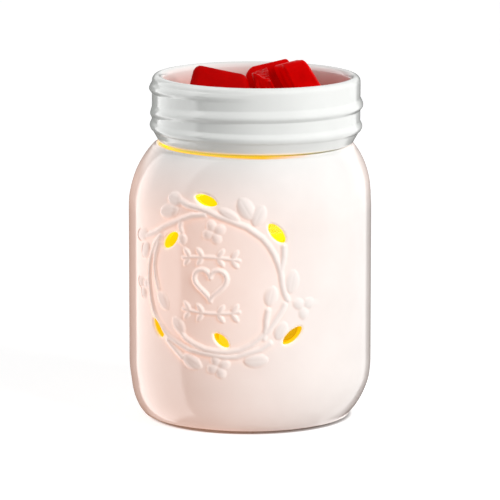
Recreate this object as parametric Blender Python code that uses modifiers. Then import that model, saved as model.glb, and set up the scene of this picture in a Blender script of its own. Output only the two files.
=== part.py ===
"""A bulb fragrance warmer in the shape of a screw-top jar, in metres with +Z up.

The jar stands on four rubber feet and its leafy wreath faces -Y. The bulb and its holder are
carried by a steel bracket, which two screws clamp through the ceramic floor to a base plate.
The dish is a loose lid: it rests on the jar's mouth and lifts straight off.
An azimuth here is an angle round +Z from -Y towards +X.
"""
import math

import bmesh
import bpy
import numpy as np
from mathutils import Matrix, Vector

# Fits
CLEARANCE = 0.0003
OVERRUN = 0.002
WELD = 0.00001

# Jar
BODY_RADIUS = 0.05415
JAR_WALL = 0.004
JAR_HEIGHT = 0.1234
STAND_GAP = 0.001
SHOULDER_HEIGHT = 0.0302
SHOULDER_CURVE_SHARE = 1.396
SHOULDER_POWER_SHARE = 2.34
MOUTH_RADIUS = 0.0408
MOUTH_WALL = 0.0032
MOUTH_EDGE = 0.0005
BASE_CORNER_HEIGHT = 0.0255
BASE_CURVE_SHARE = 1.078
FOOT_RING_RADIUS = 0.0428
FOOT_EDGE = 0.0025
FOOT_EDGE_HEIGHT = 0.0008
FLOOR_THICKNESS = 0.004
FLOOR_HOLE_RADIUS = 0.020
FLOOR_CORNER_RADIUS = 0.0105
FLOOR_CORNER_HEIGHT = 0.016
SWAY_AZIMUTH = math.radians(108.7)
MOUTH_SWAY = 0.00165
MOUTH_SWAY_START = 0.0995
BASE_SWAY = -0.0016
BASE_SWAY_PEAK = 0.0018
BASE_SWAY_END = 0.017

# Wreath in relief on the jar
WREATH_HEIGHT = 0.068
WREATH_RADIUS = 0.033
VINE_RADIUS = 0.0012
VINE_RISE = 0.001
RELIEF_LEAF_WIDTH = 0.0036
RELIEF_LEAF_RISE = 0.0011
PETAL_LENGTH = 0.0058
CUT_LEAF_LENGTH = 0.0116
CUT_LEAF_WIDTH = 0.0048
HEART_WIDTH = 0.015
SPRIG_LENGTH = 0.026
SPRIG_SPACING = 0.0125
SPRIG_STEM_RADIUS = 0.0008
SPRIG_LEAF_LENGTH = 0.0048
SPRIG_LEAF_TURN = math.radians(50)

# Dish
DISH_RADIUS = 0.0464
DISH_WALL = 0.005
DISH_HEIGHT = 0.0296
DISH_FOOT_RADIUS = 0.0435
DISH_FOOT_EDGE = 0.00035
DISH_FLOOR = 0.0046
BOWL_CORNER = 0.009
LIP_HEIGHT = 0.0026
BEAD_HEIGHT = 0.0071
BEAD_RISE = 0.00095
BEAD_WIDTH = 0.0036
THREAD_RISE = 0.0013
THREAD_WIDTH = 0.005
THREAD_START_HEIGHT = 0.0105
THREAD_CLIMB = 0.0151
LOCATING_RING_DEPTH = 0.0046
LOCATING_RING_WALL = 0.0035
DISH_SHIFT = 0.0026
DISH_SHIFT_AZIMUTH = math.radians(108.7)
DISH_LEAN = math.radians(0.5)
DISH_LEAN_AZIMUTH = math.radians(143.7)

# Wax melts
MELT_SIZE = 0.0285
MELT_EDGE = 0.0012
HEAP_TURN = math.radians(18.7)

# Base and its fastenings
FOOT_RADIUS = 0.005
FOOT_THICKNESS = 0.0029
FOOT_CIRCLE = 0.0265
PLATE_RADIUS = 0.0345
PLATE_THICKNESS = 0.0012
PLATE_GAP = 0.001
GASKET_THICKNESS = 0.001
GASKET_WIDTH = 0.0105
SCREW_RADIUS = 0.0015
SCREW_HEAD_RADIUS = 0.0028
SCREW_HEAD_HEIGHT = 0.0016
SCREW_CIRCLE = 0.0275
SCREW_END = 0.001
NUT_WIDTH = 0.0064
NUT_HEIGHT = 0.0024

# Bracket and lamp holder
BRACKET_WIDTH = 0.018
BRACKET_THICKNESS = 0.0012
BRACKET_RISE = 0.006
BRACKET_LENGTH = 0.066
BRIDGE_MARGIN = 0.003
HOLDER_RADIUS = 0.014
HOLDER_HEIGHT = 0.020
HOLDER_EDGE = 0.001
HOLDER_LIP = 0.003
HOLDER_SCREW_SPACING = 0.018
HOLDER_SCREW_DEPTH = 0.004
CONTACT_THICKNESS = 0.0006

# Bulb
PIN_SPACING = 0.010
PIN_RADIUS = 0.0016
PIN_HEAD_RADIUS = 0.0024
PIN_HEAD_HEIGHT = 0.0025
TWIST = math.radians(30)
CAP_RADIUS = 0.0125
CAP_COLLAR_RADIUS = 0.0145
CAP_HEIGHT = 0.013
CAP_SOCKET_DEPTH = 0.004
REFLECTOR_NECK_RADIUS = 0.0112
REFLECTOR_RADIUS = 0.025
REFLECTOR_HEIGHT = 0.038
REFLECTOR_WALL = 0.0014
REFLECTOR_LIP = 0.003
LENS_THICKNESS = 0.0015
CAPSULE_RADIUS = 0.0045
CAPSULE_HEIGHT = 0.019

# Wiring
GLAND_HEIGHT = 0.030
GLAND_FLANGE_RADIUS = 0.0062
GLAND_FLANGE = 0.0012
GLAND_NECK_RADIUS = 0.0046
GLAND_BORE_RADIUS = 0.0032
LEAD_RADIUS = 0.0008
LEAD_SPACING = 0.0064
LEAD_CIRCLE = 0.0112
LEAD_DEPTH = 0.003
TERMINAL_WIDTH = 0.016
TERMINAL_DEPTH = 0.010
TERMINAL_HEIGHT = 0.009
TERMINAL_PLACE = 0.0295
TERMINAL_EDGE = 0.0006

# Counts
ROUND_STEPS = 48
PLATE_STEPS = 40
LAMP_STEPS = 32
HEART_STEPS = 22
SMALL_STEPS = 24
TINY_STEPS = 16
CUT_LEAF_STEPS = 14
FOOT_COUNT = 4
SMOOTH_ANGLE = math.radians(35)

# Heights that follow from the sizes, from the table up
PLATE_BOTTOM = FOOT_THICKNESS + CLEARANCE
GASKET_BOTTOM = PLATE_BOTTOM + PLATE_THICKNESS + CLEARANCE
FLOOR_BOTTOM = GASKET_BOTTOM + GASKET_THICKNESS + CLEARANCE
FLOOR_TOP = FLOOR_BOTTOM + FLOOR_THICKNESS
FLANGE_BOTTOM = FLOOR_TOP + CLEARANCE
BRIDGE_BOTTOM = FLANGE_BOTTOM + BRACKET_RISE
HOLDER_BOTTOM = BRIDGE_BOTTOM + BRACKET_THICKNESS + CLEARANCE
HOLDER_TOP = HOLDER_BOTTOM + HOLDER_HEIGHT
CAP_BOTTOM = HOLDER_TOP + CLEARANCE
REFLECTOR_BOTTOM = CAP_BOTTOM + CAP_HEIGHT - CAP_SOCKET_DEPTH + CLEARANCE
LIP_CAVITY_TOP = HOLDER_TOP - HOLDER_LIP
CAVITY_DEPTH = PIN_HEAD_HEIGHT + CONTACT_THICKNESS + CLEARANCE * 3
SHOULDER_BOTTOM = JAR_HEIGHT - SHOULDER_HEIGHT
CORNER_TOP = STAND_GAP + BASE_CORNER_HEIGHT
DISH_SEAT = JAR_HEIGHT + CLEARANCE + DISH_FOOT_RADIUS * math.sin(DISH_LEAN)
DISH_AXIS = Vector((math.sin(DISH_SHIFT_AZIMUTH), -math.cos(DISH_SHIFT_AZIMUTH), 0)) * DISH_SHIFT
SWAY_AXIS = Vector((math.sin(SWAY_AZIMUTH), -math.cos(SWAY_AZIMUTH), 0))

# The wreath's strands: (across, up) places as shares of the wreath's radius
STRAND_SHARES = (
    ((-0.46, 1.10), (-0.34, 1.05), (-0.19, 1.03), (-0.03, 0.99), (0.09, 0.94), (0.25, 0.89),
     (0.38, 0.84), (0.49, 0.80), (0.59, 0.73), (0.70, 0.65), (0.79, 0.54), (0.86, 0.42),
     (0.91, 0.30), (0.95, 0.17), (0.97, 0.01), (1.00, -0.11), (1.04, -0.19)),
    ((-1.07, 0.56), (-0.88, 0.63), (-0.71, 0.73), (-0.55, 0.80), (-0.41, 0.86), (-0.26, 0.92),
     (-0.08, 0.945)),
    ((1.00, -0.25), (0.97, -0.32), (0.87, -0.47), (0.78, -0.60), (0.68, -0.69), (0.55, -0.79),
     (0.40, -0.86), (0.24, -0.89), (0.09, -0.89), (-0.07, -0.87), (-0.24, -0.81), (-0.37, -0.74),
     (-0.43, -0.67)),
    ((-0.79, 0.60), (-0.89, 0.49), (-0.98, 0.32), (-1.03, 0.16), (-1.04, 0.00), (-1.02, -0.15),
     (-0.99, -0.30), (-0.94, -0.43), (-0.85, -0.57), (-0.74, -0.67), (-0.63, -0.76), (-0.46, -0.83),
     (-0.31, -0.89), (-0.12, -0.92), (0.05, -0.94), (0.21, -0.96), (0.36, -0.95), (0.51, -0.90),
     (0.68, -0.85), (0.80, -0.77)),
    ((-0.83, 0.50), (-0.89, 0.35), (-0.92, 0.18), (-0.89, 0.01), (-0.84, -0.12)),
    ((-0.66, -0.80), (-0.54, -0.90), (-0.42, -1.00)),
    ((0.72, -0.70), (0.75, -0.56), (0.75, -0.46), (0.775, -0.33)),
    ((0.99, 0.53), (0.99, 0.39), (0.95, 0.22)),
    ((-0.43, 0.82), (-0.445, 0.76), (-0.425, 0.70)),
)
# Raised leaves: (across, up) of the stalk end and of the tip, as shares of the wreath's radius
RELIEF_LEAF_SHARES = (
    (-0.56, -0.47, -0.39, -0.69), (-0.84, -0.16, -0.66, -0.39), (0.85, 0.00, 0.78, -0.27),
    (-0.42, -0.98, -0.12, -1.12), (0.45, -1.01, 0.78, -0.99), (0.40, 1.15, 0.57, 0.90),
    (0.69, 1.05, 0.59, 0.81), (1.13, 0.21, 1.07, -0.11), (-0.42, 0.68, -0.40, 0.53),
    (-0.67, 1.12, -0.43, 1.08), (-0.76, 0.92, -0.48, 0.99), (-1.33, 0.52, -1.04, 0.59),
    (-1.20, 0.27, -1.05, 0.47), (0.11, 1.03, 0.40, 0.88), (1.01, -0.49, 0.89, -0.72),
)
# Small flowers: (across, up) of the middle as shares of the wreath's radius, and the number of petals
FLOWER_SHARES = ((0.05, 0.72, 4), (0.11, -1.09, 4), (1.27, -0.30, 3), (-1.18, -0.14, 3))
# Leaf-shaped light holes: (across, up) as shares of the wreath's radius, turn in degrees,
# and length and width as shares of the common size
CUT_LEAF_SHARES = (
    (-0.09, 1.135, -16, 1.00, 0.95), (-0.617, 0.558, 43, 0.93, 1.12), (0.897, 0.709, -49, 1.06, 1.12),
    (-0.858, -0.664, -53, 0.98, 0.92), (0.150, -0.736, -41, 1.00, 0.84), (1.117, -0.679, 39, 1.02, 1.02),
)
# The thread's crest: azimuth in degrees, height as a share of its climb, and share of the full rise
THREAD_SHARES = (
    (-90, 0.00, 0.05), (-71, 0.11, 0.55), (-56, 0.19, 0.80), (-41, 0.25, 1.00), (-12, 0.34, 1.00),
    (16, 0.39, 1.00), (63, 0.405, 1.00), (109, 0.41, 1.00), (150, 0.49, 1.00), (190, 0.60, 1.00),
    (230, 0.72, 1.00), (260, 0.80, 1.00), (289, 0.85, 1.00), (319, 0.93, 1.00), (345, 0.97, 0.80),
    (378, 1.00, 0.05),
)
# The thread's section about its crest, steep below and gentle above: outward as a share of the rise,
# and up as a share of the width
THREAD_SECTION_SHARES = (
    (-1.00, -0.30), (-0.08, -0.30), (0.72, -0.20), (1.00, -0.02), (0.92, 0.14), (0.50, 0.38),
    (-0.08, 0.62), (-1.00, 0.62),
)
# Each melt's eight corners on the dish's floor, as shares of a melt's size: across, away and up in the
# heap's own frame. The bottom four go round from the front left, then the top four.
MELT_CORNER_SHARES = {
    "wax_melt_left": (
        (-1.20, -0.36, 0.12), (0.03, -0.44, 0.00), (0.00, 0.16, 0.00), (-1.20, 0.14, 0.12),
        (-0.96, -0.14, 1.05), (-0.13, -0.10, 0.89), (-0.13, 0.34, 0.78), (-0.97, 0.34, 0.92)),
    "wax_melt_rear": (
        (-0.42, 0.43, 0.00), (0.68, 0.48, 0.00), (0.58, 0.94, 0.00), (-0.34, 1.01, 0.00),
        (-0.13, 0.52, 0.91), (0.53, 0.56, 1.07), (0.50, 0.98, 0.97), (-0.12, 0.94, 0.82)),
    "wax_melt_right": (
        (0.88, -0.46, 0.00), (1.27, -0.40, 0.36), (1.16, 0.36, 0.36), (0.76, 0.36, 0.00),
        (0.39, -0.40, 1.09), (0.76, -0.40, 1.17), (0.67, 0.40, 1.07), (0.22, 0.40, 0.95)),
    "wax_chunk": (
        (0.12, -0.36, 0.00), (0.62, -0.34, 0.00), (0.52, 0.30, 0.00), (0.12, 0.30, 0.00),
        (-0.06, -0.16, 0.93), (0.24, -0.30, 0.80), (0.16, 0.20, 1.00), (-0.08, 0.16, 0.86)),
}

MODEL = bpy.data.collections.new("bulb_fragrance_warmer")
CUTTERS = bpy.data.collections.new("cutters")
RELIEF = bpy.data.collections.new("wreath_relief")
LIGHT_HOLES = bpy.data.collections.new("light_holes")

GLAZE_WHITE = ("glazed_white", (0.88, 0.85, 0.81), 0.12, 0.0)
WAX_RED = ("wax_red", (0.40, 0.002, 0.002), 0.35, 0.0)
STEEL = ("plated_steel", (0.62, 0.62, 0.60), 0.35, 1.0)
RUBBER_GREY = ("rubber_grey", (0.28, 0.28, 0.28), 0.8, 0.0)
RUBBER_WHITE = ("rubber_white", (0.75, 0.74, 0.72), 0.7, 0.0)
BISQUE = ("unglazed_ceramic", (0.80, 0.78, 0.72), 0.6, 0.0)
BRASS = ("brass", (0.72, 0.52, 0.24), 0.3, 1.0)
GLASS = ("lamp_glass", (0.90, 0.92, 0.95), 0.05, 0.0)
MIRROR_GLASS = ("reflector_glass", (0.85, 0.86, 0.90), 0.1, 0.6)
NICKEL = ("nickel", (0.70, 0.68, 0.64), 0.25, 1.0)
PLASTIC_WHITE = ("plastic_white", (0.80, 0.80, 0.78), 0.45, 0.0)
SLEEVE_BROWN = ("sleeve_brown", (0.20, 0.09, 0.04), 0.6, 0.0)
SLEEVE_BLUE = ("sleeve_blue", (0.05, 0.16, 0.45), 0.6, 0.0)


def start_empty():
    """Clear the scene's objects and link the model's collections."""
    for old in list(bpy.data.objects):
        bpy.data.objects.remove(old, do_unlink=True)
    for group in (MODEL, CUTTERS, RELIEF, LIGHT_HOLES):
        bpy.context.scene.collection.children.link(group)


def add(name, mesh, finish=None, group=None, parent=None, place=(0, 0, 0), turn=(0, 0, 0)):
    """One named object in its collection, with its own material; without a finish it is a cutter."""
    item = bpy.data.objects.new(name, mesh)
    if finish:
        label, colour, roughness, metallic = finish
        material = bpy.data.materials.new(f"{name}_{label}")
        material.use_nodes = True
        shader = material.node_tree.nodes["Principled BSDF"]
        shader.inputs["Base Color"].default_value = (*colour, 1)
        shader.inputs["Roughness"].default_value = roughness
        shader.inputs["Metallic"].default_value = metallic
        mesh.materials.append(material)
        MODEL.objects.link(item)
    else:
        (group or CUTTERS).objects.link(item)
        item.hide_render = True
        item.display_type = "WIRE"
    item.parent = parent
    item.location = place
    item.rotation_euler = turn
    return item


def mesh_from(name, shape):
    """Turn a bmesh into a mesh datablock with outward faces."""
    bmesh.ops.recalc_face_normals(shape, faces=shape.faces)
    mesh = bpy.data.meshes.new(name)
    shape.to_mesh(mesh)
    shape.free()
    return mesh


def turned(name, profile, finish=None, steps=SMALL_STEPS, **where):
    """A profile of (radius, height) points turned about Z; it runs down its outer side."""
    shape = bmesh.new()
    points = [shape.verts.new((radius, 0, height)) for radius, height in profile]
    for first, second in zip(points, points[1:]):
        shape.edges.new((first, second))
    if profile[0][0] > 0:
        shape.edges.new((points[-1], points[0]))
    mesh = bpy.data.meshes.new(name)
    shape.to_mesh(mesh)
    shape.free()
    item = add(name, mesh, finish, **where)
    screw = item.modifiers.new("turn", "SCREW")
    screw.steps = steps
    screw.render_steps = steps
    screw.use_merge_vertices = True
    screw.merge_threshold = WELD
    screw.use_smooth_shade = True
    return item


def disc(name, radius, low, high, finish=None, steps=SMALL_STEPS, **where):
    """A plain round slug between two heights."""
    shape = bmesh.new()
    bmesh.ops.create_cone(shape, cap_ends=True, segments=steps, radius1=radius, radius2=radius,
                          depth=high - low)
    bmesh.ops.translate(shape, verts=shape.verts, vec=(0, 0, (low + high) / 2))
    return add(name, mesh_from(name, shape), finish, **where)


def ring(name, outer, inner, low, high, finish=None, steps=SMALL_STEPS, **where):
    """A plain ring between two heights."""
    return turned(name, ((outer, high), (outer, low), (inner, low), (inner, high)), finish, steps, **where)


def box(name, size, finish=None, **where):
    """A box of the given size about its own middle."""
    shape = bmesh.new()
    bmesh.ops.create_cube(shape, size=1)
    bmesh.ops.scale(shape, vec=size, verts=shape.verts)
    return add(name, mesh_from(name, shape), finish, **where)


def soften(item, width, segments=2):
    """Round an object's sharp edges."""
    bevel = item.modifiers.new("edges", "BEVEL")
    bevel.width = width
    bevel.segments = segments
    bevel.limit_method = "ANGLE"


def outline_curve(name, splines, dimensions="2D", cyclic=True):
    """A curve of straight runs. Each spline is a list of (x, y, z, radius share) points."""
    curve = bpy.data.curves.new(name, "CURVE")
    curve.dimensions = dimensions
    for points in splines:
        spline = curve.splines.new("POLY")
        spline.points.add(len(points) - 1)
        for target, (x, y, z, share) in zip(spline.points, points):
            target.co = (x, y, z, 1)
            target.radius = share
        spline.use_cyclic_u = cyclic
    return curve


def solid_curve(name, splines, finish=None, depth=0, tube=0, section=None, sides=1, cyclic=False, **where):
    """A curve made solid: a flat outline of the given depth, a round tube, or a swept section.

    The section is a list of (sideways, up) points about the path.
    """
    flat = not (tube or section)
    curve = outline_curve(name, splines, "2D" if flat else "3D", cyclic or flat)
    guides = [bpy.data.objects.new(name + "_curve", curve)]
    if flat:
        curve.fill_mode = "BOTH"
        curve.extrude = depth / 2
    else:
        curve.use_fill_caps = True
    if tube:
        curve.bevel_depth = tube
        curve.bevel_resolution = sides
    if section:
        outline = outline_curve(name + "_section", [[(x, y, 0, 1) for x, y in section]])
        guides.append(bpy.data.objects.new(name + "_section", outline))
        curve.bevel_mode = "OBJECT"
        curve.bevel_object = guides[1]
        curve.twist_mode = "Z_UP"
    for guide in guides:
        MODEL.objects.link(guide)
    bpy.context.view_layer.update()
    evaluated = guides[0].evaluated_get(bpy.context.evaluated_depsgraph_get())
    shape = bmesh.new()
    mesh = bpy.data.meshes.new_from_object(evaluated)
    shape.from_mesh(mesh)
    bpy.data.meshes.remove(mesh)
    for guide in guides:
        bpy.data.objects.remove(guide, do_unlink=True)
    bmesh.ops.remove_doubles(shape, verts=shape.verts, dist=WELD)
    return add(name, mesh_from(name, shape), finish, **where)


def plate(name, outlines, depth, finish=None, **where):
    """A flat outline, with any inner outlines as holes, made solid by its depth."""
    splines = [[(x, y, 0, 1) for x, y in outline] for outline in outlines]
    return solid_curve(name, splines, finish, depth, **where)


def join_or_cut(item, operation, tool):
    """Add a Boolean with one object or with a whole collection."""
    boolean = item.modifiers.new(operation.lower(), "BOOLEAN")
    boolean.operation = operation
    boolean.solver = "EXACT"
    if isinstance(tool, bpy.types.Collection):
        boolean.operand_type = "COLLECTION"
        boolean.collection = tool
    else:
        boolean.object = tool


def cut(item, tool):
    """Cut one object from another."""
    join_or_cut(item, "DIFFERENCE", tool)


def circle(radius, steps=SMALL_STEPS, start=0.0, sweep=math.tau):
    """Points round a circle, or along a part of it with both ends."""
    spans = steps if sweep == math.tau else steps - 1
    angles = [start + sweep * step / spans for step in range(steps)]
    return [(radius * math.cos(angle), radius * math.sin(angle)) for angle in angles]


def smooth_path(points, steps=3):
    """A Catmull-Rom curve through the points, with the given steps between each two."""
    ends = [points[0] * 2 - points[1], *points, points[-1] * 2 - points[-2]]
    path = []
    for before, start, stop, after in zip(ends, ends[1:], ends[2:], ends[3:]):
        for step in range(steps):
            t = step / steps
            path.append((start * 2 + (stop - before) * t
                         + (before * 2 - start * 5 + stop * 4 - after) * t ** 2
                         + (start * 3 - before - stop * 3 + after) * t ** 3) / 2)
    return [*path, points[-1]]


def shoulder_radius(height, wide, narrow, low, high):
    """Radius on a superellipse that leaves the wide radius at the low height and ends at the narrow one."""
    climb = max(0, height - low) / (high - low) / SHOULDER_CURVE_SHARE
    power = SHOULDER_POWER_SHARE
    whole = 1 - (1 - SHOULDER_CURVE_SHARE ** -power) ** (1 / power)
    return wide - (wide - narrow) * (1 - (1 - climb ** power) ** (1 / power)) / whole


def corner_radius(height, wide, narrow, low, high, curve_share=1):
    """Radius on an ellipse that widens from the narrow radius at the low height to the wide one."""
    drop = max(0, high - height) / (high - low) / curve_share
    whole = 1 - math.sqrt(1 - curve_share ** -2)
    return wide - (wide - narrow) * (1 - math.sqrt(1 - drop ** 2)) / whole


def jar_radius(height):
    """Outer radius of the jar at a height."""
    if height > SHOULDER_BOTTOM:
        return shoulder_radius(height, BODY_RADIUS, MOUTH_RADIUS + MOUTH_WALL, SHOULDER_BOTTOM, JAR_HEIGHT)
    foot_radius = FOOT_RING_RADIUS + FOOT_EDGE
    return corner_radius(height, BODY_RADIUS, foot_radius, STAND_GAP, CORNER_TOP, BASE_CURVE_SHARE)


def spread(low, high, count):
    """Evenly spaced values from low to high, both included."""
    return [low + (high - low) * step / (count - 1) for step in range(count)]


def sway(height, outside=True):
    """Sideways offset of the jar's ring at a height: towards one side at the mouth, and to the other
    side at the outer base corner. The offset grows evenly between the named heights.
    """
    mouth = max(0, height - MOUTH_SWAY_START) / (JAR_HEIGHT - MOUTH_SWAY_START)
    foot_top = STAND_GAP + FOOT_EDGE_HEIGHT / 2
    base = min((height - foot_top) / (BASE_SWAY_PEAK - foot_top),
               (BASE_SWAY_END - height) / (BASE_SWAY_END - BASE_SWAY_PEAK))
    return SWAY_AXIS * (MOUTH_SWAY * mouth + BASE_SWAY * max(0, base) * outside)


def wall_frame(across, up):
    """Point on the jar's outer wall, and the frame there: along the wall, up the wall, and out of it.

    Across is measured round the wall from the wreath's middle, and up from the wreath's middle.
    """
    azimuth = across / BODY_RADIUS
    height = WREATH_HEIGHT + up
    outward = Vector((math.sin(azimuth), -math.cos(azimuth), 0))
    slope = (jar_radius(height + WELD) - jar_radius(height - WELD)) / (2 * WELD)
    along = Vector((math.cos(azimuth), math.sin(azimuth), 0))
    upward = (outward * slope + Vector((0, 0, 1))).normalized()
    point = outward * jar_radius(height) + sway(height) + Vector((0, 0, height))
    return point, along, upward, along.cross(upward)


def wall_matrix(across, up, turn, sink=0):
    """Matrix whose X runs along a direction on the wall, turned from level, and whose Z points out."""
    point, along, upward, outward = wall_frame(across, up)
    ahead = along * math.cos(turn) + upward * math.sin(turn)
    side = outward.cross(ahead)
    frame = Matrix((ahead, side, outward)).transposed().to_4x4()
    return Matrix.Translation(point - outward * sink) @ frame


def wall_strand(name, places, radius, rise, cyclic=False):
    """A round strand laid along the wall, standing proud by its rise, thin at its free ends."""
    path = []
    for across, up in places:
        point, _, _, outward = wall_frame(across, up)
        path.append(point + outward * (rise - radius))
    last = len(path) - 1
    shares = [0.6 if not cyclic and step in (0, last) else 1 for step in range(len(path))]
    points = [(*point, share) for point, share in zip(path, shares)]
    solid_curve(name, [points], tube=radius, cyclic=cyclic, group=RELIEF)


def wall_leaf(name, start, stop, width, rise):
    """A raised leaf on the wall: a ball stretched from the stalk end to the tip."""
    across, up = stop[0] - start[0], stop[1] - start[1]
    middle = ((start[0] + stop[0]) / 2, (start[1] + stop[1]) / 2)
    shape = bmesh.new()
    bmesh.ops.create_uvsphere(shape, u_segments=6, v_segments=6, radius=1)
    bmesh.ops.rotate(shape, verts=shape.verts, matrix=Matrix.Rotation(math.pi / 2, 3, "Y"))
    sink = rise / 4
    bmesh.ops.scale(shape, verts=shape.verts, vec=(math.hypot(across, up) / 2, width / 2, rise + sink))
    leaf = add(name, mesh_from(name, shape), group=RELIEF)
    leaf.matrix_world = wall_matrix(*middle, math.atan2(up, across), sink)


def make_relief():
    """The wreath's strands, leaves and flowers, and the plain heart with two sprigs inside it."""
    for number, shares in enumerate(STRAND_SHARES):
        places = [(x * WREATH_RADIUS, z * WREATH_RADIUS) for x, z in shares]
        wall_strand(f"strand_{number + 1}", places, VINE_RADIUS, VINE_RISE)
    for number, (x0, z0, x1, z1) in enumerate(RELIEF_LEAF_SHARES):
        start = (x0 * WREATH_RADIUS, z0 * WREATH_RADIUS)
        stop = (x1 * WREATH_RADIUS, z1 * WREATH_RADIUS)
        wall_leaf(f"relief_leaf_{number + 1}", start, stop, RELIEF_LEAF_WIDTH, RELIEF_LEAF_RISE)
    for number, (x, z, petals) in enumerate(FLOWER_SHARES):
        middle = Vector((x * WREATH_RADIUS, z * WREATH_RADIUS))
        for petal in range(petals):
            angle = math.tau * (petal + 0.25) / petals
            reach = Vector((math.cos(angle), math.sin(angle))) * PETAL_LENGTH
            name = f"petal_{number + 1}_{petal + 1}"
            wall_leaf(name, middle, middle + reach, RELIEF_LEAF_WIDTH, RELIEF_LEAF_RISE)
    heart = []
    for step in range(HEART_STEPS):
        angle = math.tau * (step + 0.5) / HEART_STEPS
        across_share = math.sin(angle) ** 3 / 2
        up_share = (13 * math.cos(angle) - 5 * math.cos(2 * angle) - 2 * math.cos(3 * angle)
                    - math.cos(4 * angle) + 2.5) / 32
        heart.append((across_share * HEART_WIDTH, up_share * HEART_WIDTH))
    wall_strand("heart", heart, VINE_RADIUS, VINE_RISE, cyclic=True)
    for side in (1, -1):
        stem = [(share * SPRIG_LENGTH, side * (SPRIG_SPACING - share ** 2 * SPRIG_LENGTH / 6))
                for share in (-0.5, -0.3, -0.1, 0.1, 0.3, 0.5)]
        wall_strand(f"sprig_{side}", stem, SPRIG_STEM_RADIUS, VINE_RISE * 3 / 4)
        for share in (-0.36, -0.12, 0.12, 0.36):
            for lean in (1, -1):
                foot = Vector((share * SPRIG_LENGTH, side * (SPRIG_SPACING - share ** 2 * SPRIG_LENGTH / 6)))
                angle = lean * SPRIG_LEAF_TURN if share > 0 else math.pi - lean * SPRIG_LEAF_TURN
                tip = foot + Vector((math.cos(angle), math.sin(angle))) * SPRIG_LEAF_LENGTH
                name = f"sprig_leaf_{side}_{share}_{lean}"
                wall_leaf(name, foot, tip, RELIEF_LEAF_WIDTH / 2, RELIEF_LEAF_RISE)


def make_light_holes():
    """Leaf-shaped cutters through the wall, pointed at both ends."""
    depth = (JAR_WALL + OVERRUN) * 2
    for number, (x, z, turn, length_share, width_share) in enumerate(CUT_LEAF_SHARES):
        outline = []
        for step in range(CUT_LEAF_STEPS):
            angle = math.tau * (step + 0.5) / CUT_LEAF_STEPS
            across = CUT_LEAF_LENGTH * length_share / 2 * math.cos(angle)
            up = CUT_LEAF_WIDTH * width_share / 2 * math.sin(angle) * abs(math.sin(angle)) ** 0.25
            outline.append((across, up))
        hole = plate(f"light_hole_{number + 1}", [outline], depth, group=LIGHT_HOLES)
        hole.matrix_world = wall_matrix(x * WREATH_RADIUS, z * WREATH_RADIUS, math.radians(turn))


def sway_rings(jar):
    """Keep the turned jar as a plain mesh and move each of its rings sideways by the jar's sway."""
    bpy.context.view_layer.update()
    evaluated = jar.evaluated_get(bpy.context.evaluated_depsgraph_get())
    mesh = bpy.data.meshes.new_from_object(evaluated)
    jar.modifiers.clear()
    jar.data = mesh
    for corner in mesh.vertices:
        radius = math.hypot(corner.co.x, corner.co.y)
        outside = radius > jar_radius(corner.co.z) - JAR_WALL / 2
        corner.co += sway(corner.co.z, outside)


def make_jar():
    """The ceramic jar: shell, foot ring, floor with its holes, relief, light holes and gland hole."""
    mouth_outer = MOUTH_RADIUS + MOUTH_WALL
    inner_radius = BODY_RADIUS - JAR_WALL
    profile = [(mouth_outer - MOUTH_EDGE * 2, JAR_HEIGHT)]
    for height in spread(JAR_HEIGHT - MOUTH_EDGE, SHOULDER_BOTTOM, 9):
        profile.append((jar_radius(height), height))
    profile += [(BODY_RADIUS, height) for height in spread(SHOULDER_BOTTOM, CORNER_TOP, 4)[1:-1]]
    foot_top = STAND_GAP + FOOT_EDGE_HEIGHT
    for angle in spread(0, math.pi / 2, 8):
        height = CORNER_TOP - (CORNER_TOP - foot_top) * math.sin(angle)
        profile.append((jar_radius(height), height))
    profile.append((FOOT_RING_RADIUS + FOOT_EDGE / 2, STAND_GAP + FOOT_EDGE_HEIGHT / 5))
    profile.append((FOOT_RING_RADIUS, STAND_GAP))
    recess = PLATE_RADIUS + PLATE_GAP
    profile += [(recess, STAND_GAP), (recess, FLOOR_BOTTOM), (FLOOR_HOLE_RADIUS, FLOOR_BOTTOM)]
    floor_edge = inner_radius - FLOOR_CORNER_RADIUS
    corner_top = FLOOR_TOP + FLOOR_CORNER_HEIGHT
    profile += [(FLOOR_HOLE_RADIUS, FLOOR_TOP), (floor_edge, FLOOR_TOP)]
    for step in range(1, 5):
        angle = math.pi / 2 * step / 4
        radius = floor_edge + FLOOR_CORNER_RADIUS * math.sin(angle)
        profile.append((radius, corner_top - FLOOR_CORNER_HEIGHT * math.cos(angle)))
    bore_bottom = JAR_HEIGHT - JAR_WALL
    inner_shoulder = bore_bottom - SHOULDER_HEIGHT
    for height in spread(inner_shoulder, bore_bottom, 6):
        radius = shoulder_radius(height, inner_radius, MOUTH_RADIUS, inner_shoulder, bore_bottom)
        profile.append((radius, height))
    profile += [(MOUTH_RADIUS, JAR_HEIGHT - MOUTH_EDGE), (MOUTH_RADIUS + MOUTH_EDGE, JAR_HEIGHT)]
    jar = turned("jar_body", profile, GLAZE_WHITE, ROUND_STEPS)
    sway_rings(jar)
    make_relief()
    make_light_holes()
    join_or_cut(jar, "UNION", RELIEF)
    join_or_cut(jar, "DIFFERENCE", LIGHT_HOLES)
    for side in (1, -1):
        cut(jar, disc(f"floor_screw_hole_{side}", SCREW_RADIUS + CLEARANCE, FLOOR_BOTTOM - OVERRUN,
                      FLOOR_TOP + OVERRUN, steps=TINY_STEPS, place=(side * SCREW_CIRCLE, 0, 0)))
    cut(jar, disc("gland_hole", GLAND_NECK_RADIUS + CLEARANCE, inner_radius - OVERRUN * 2,
                  BODY_RADIUS + OVERRUN, place=(0, 0, GLAND_HEIGHT), turn=(-math.pi / 2, 0, 0)))


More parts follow.
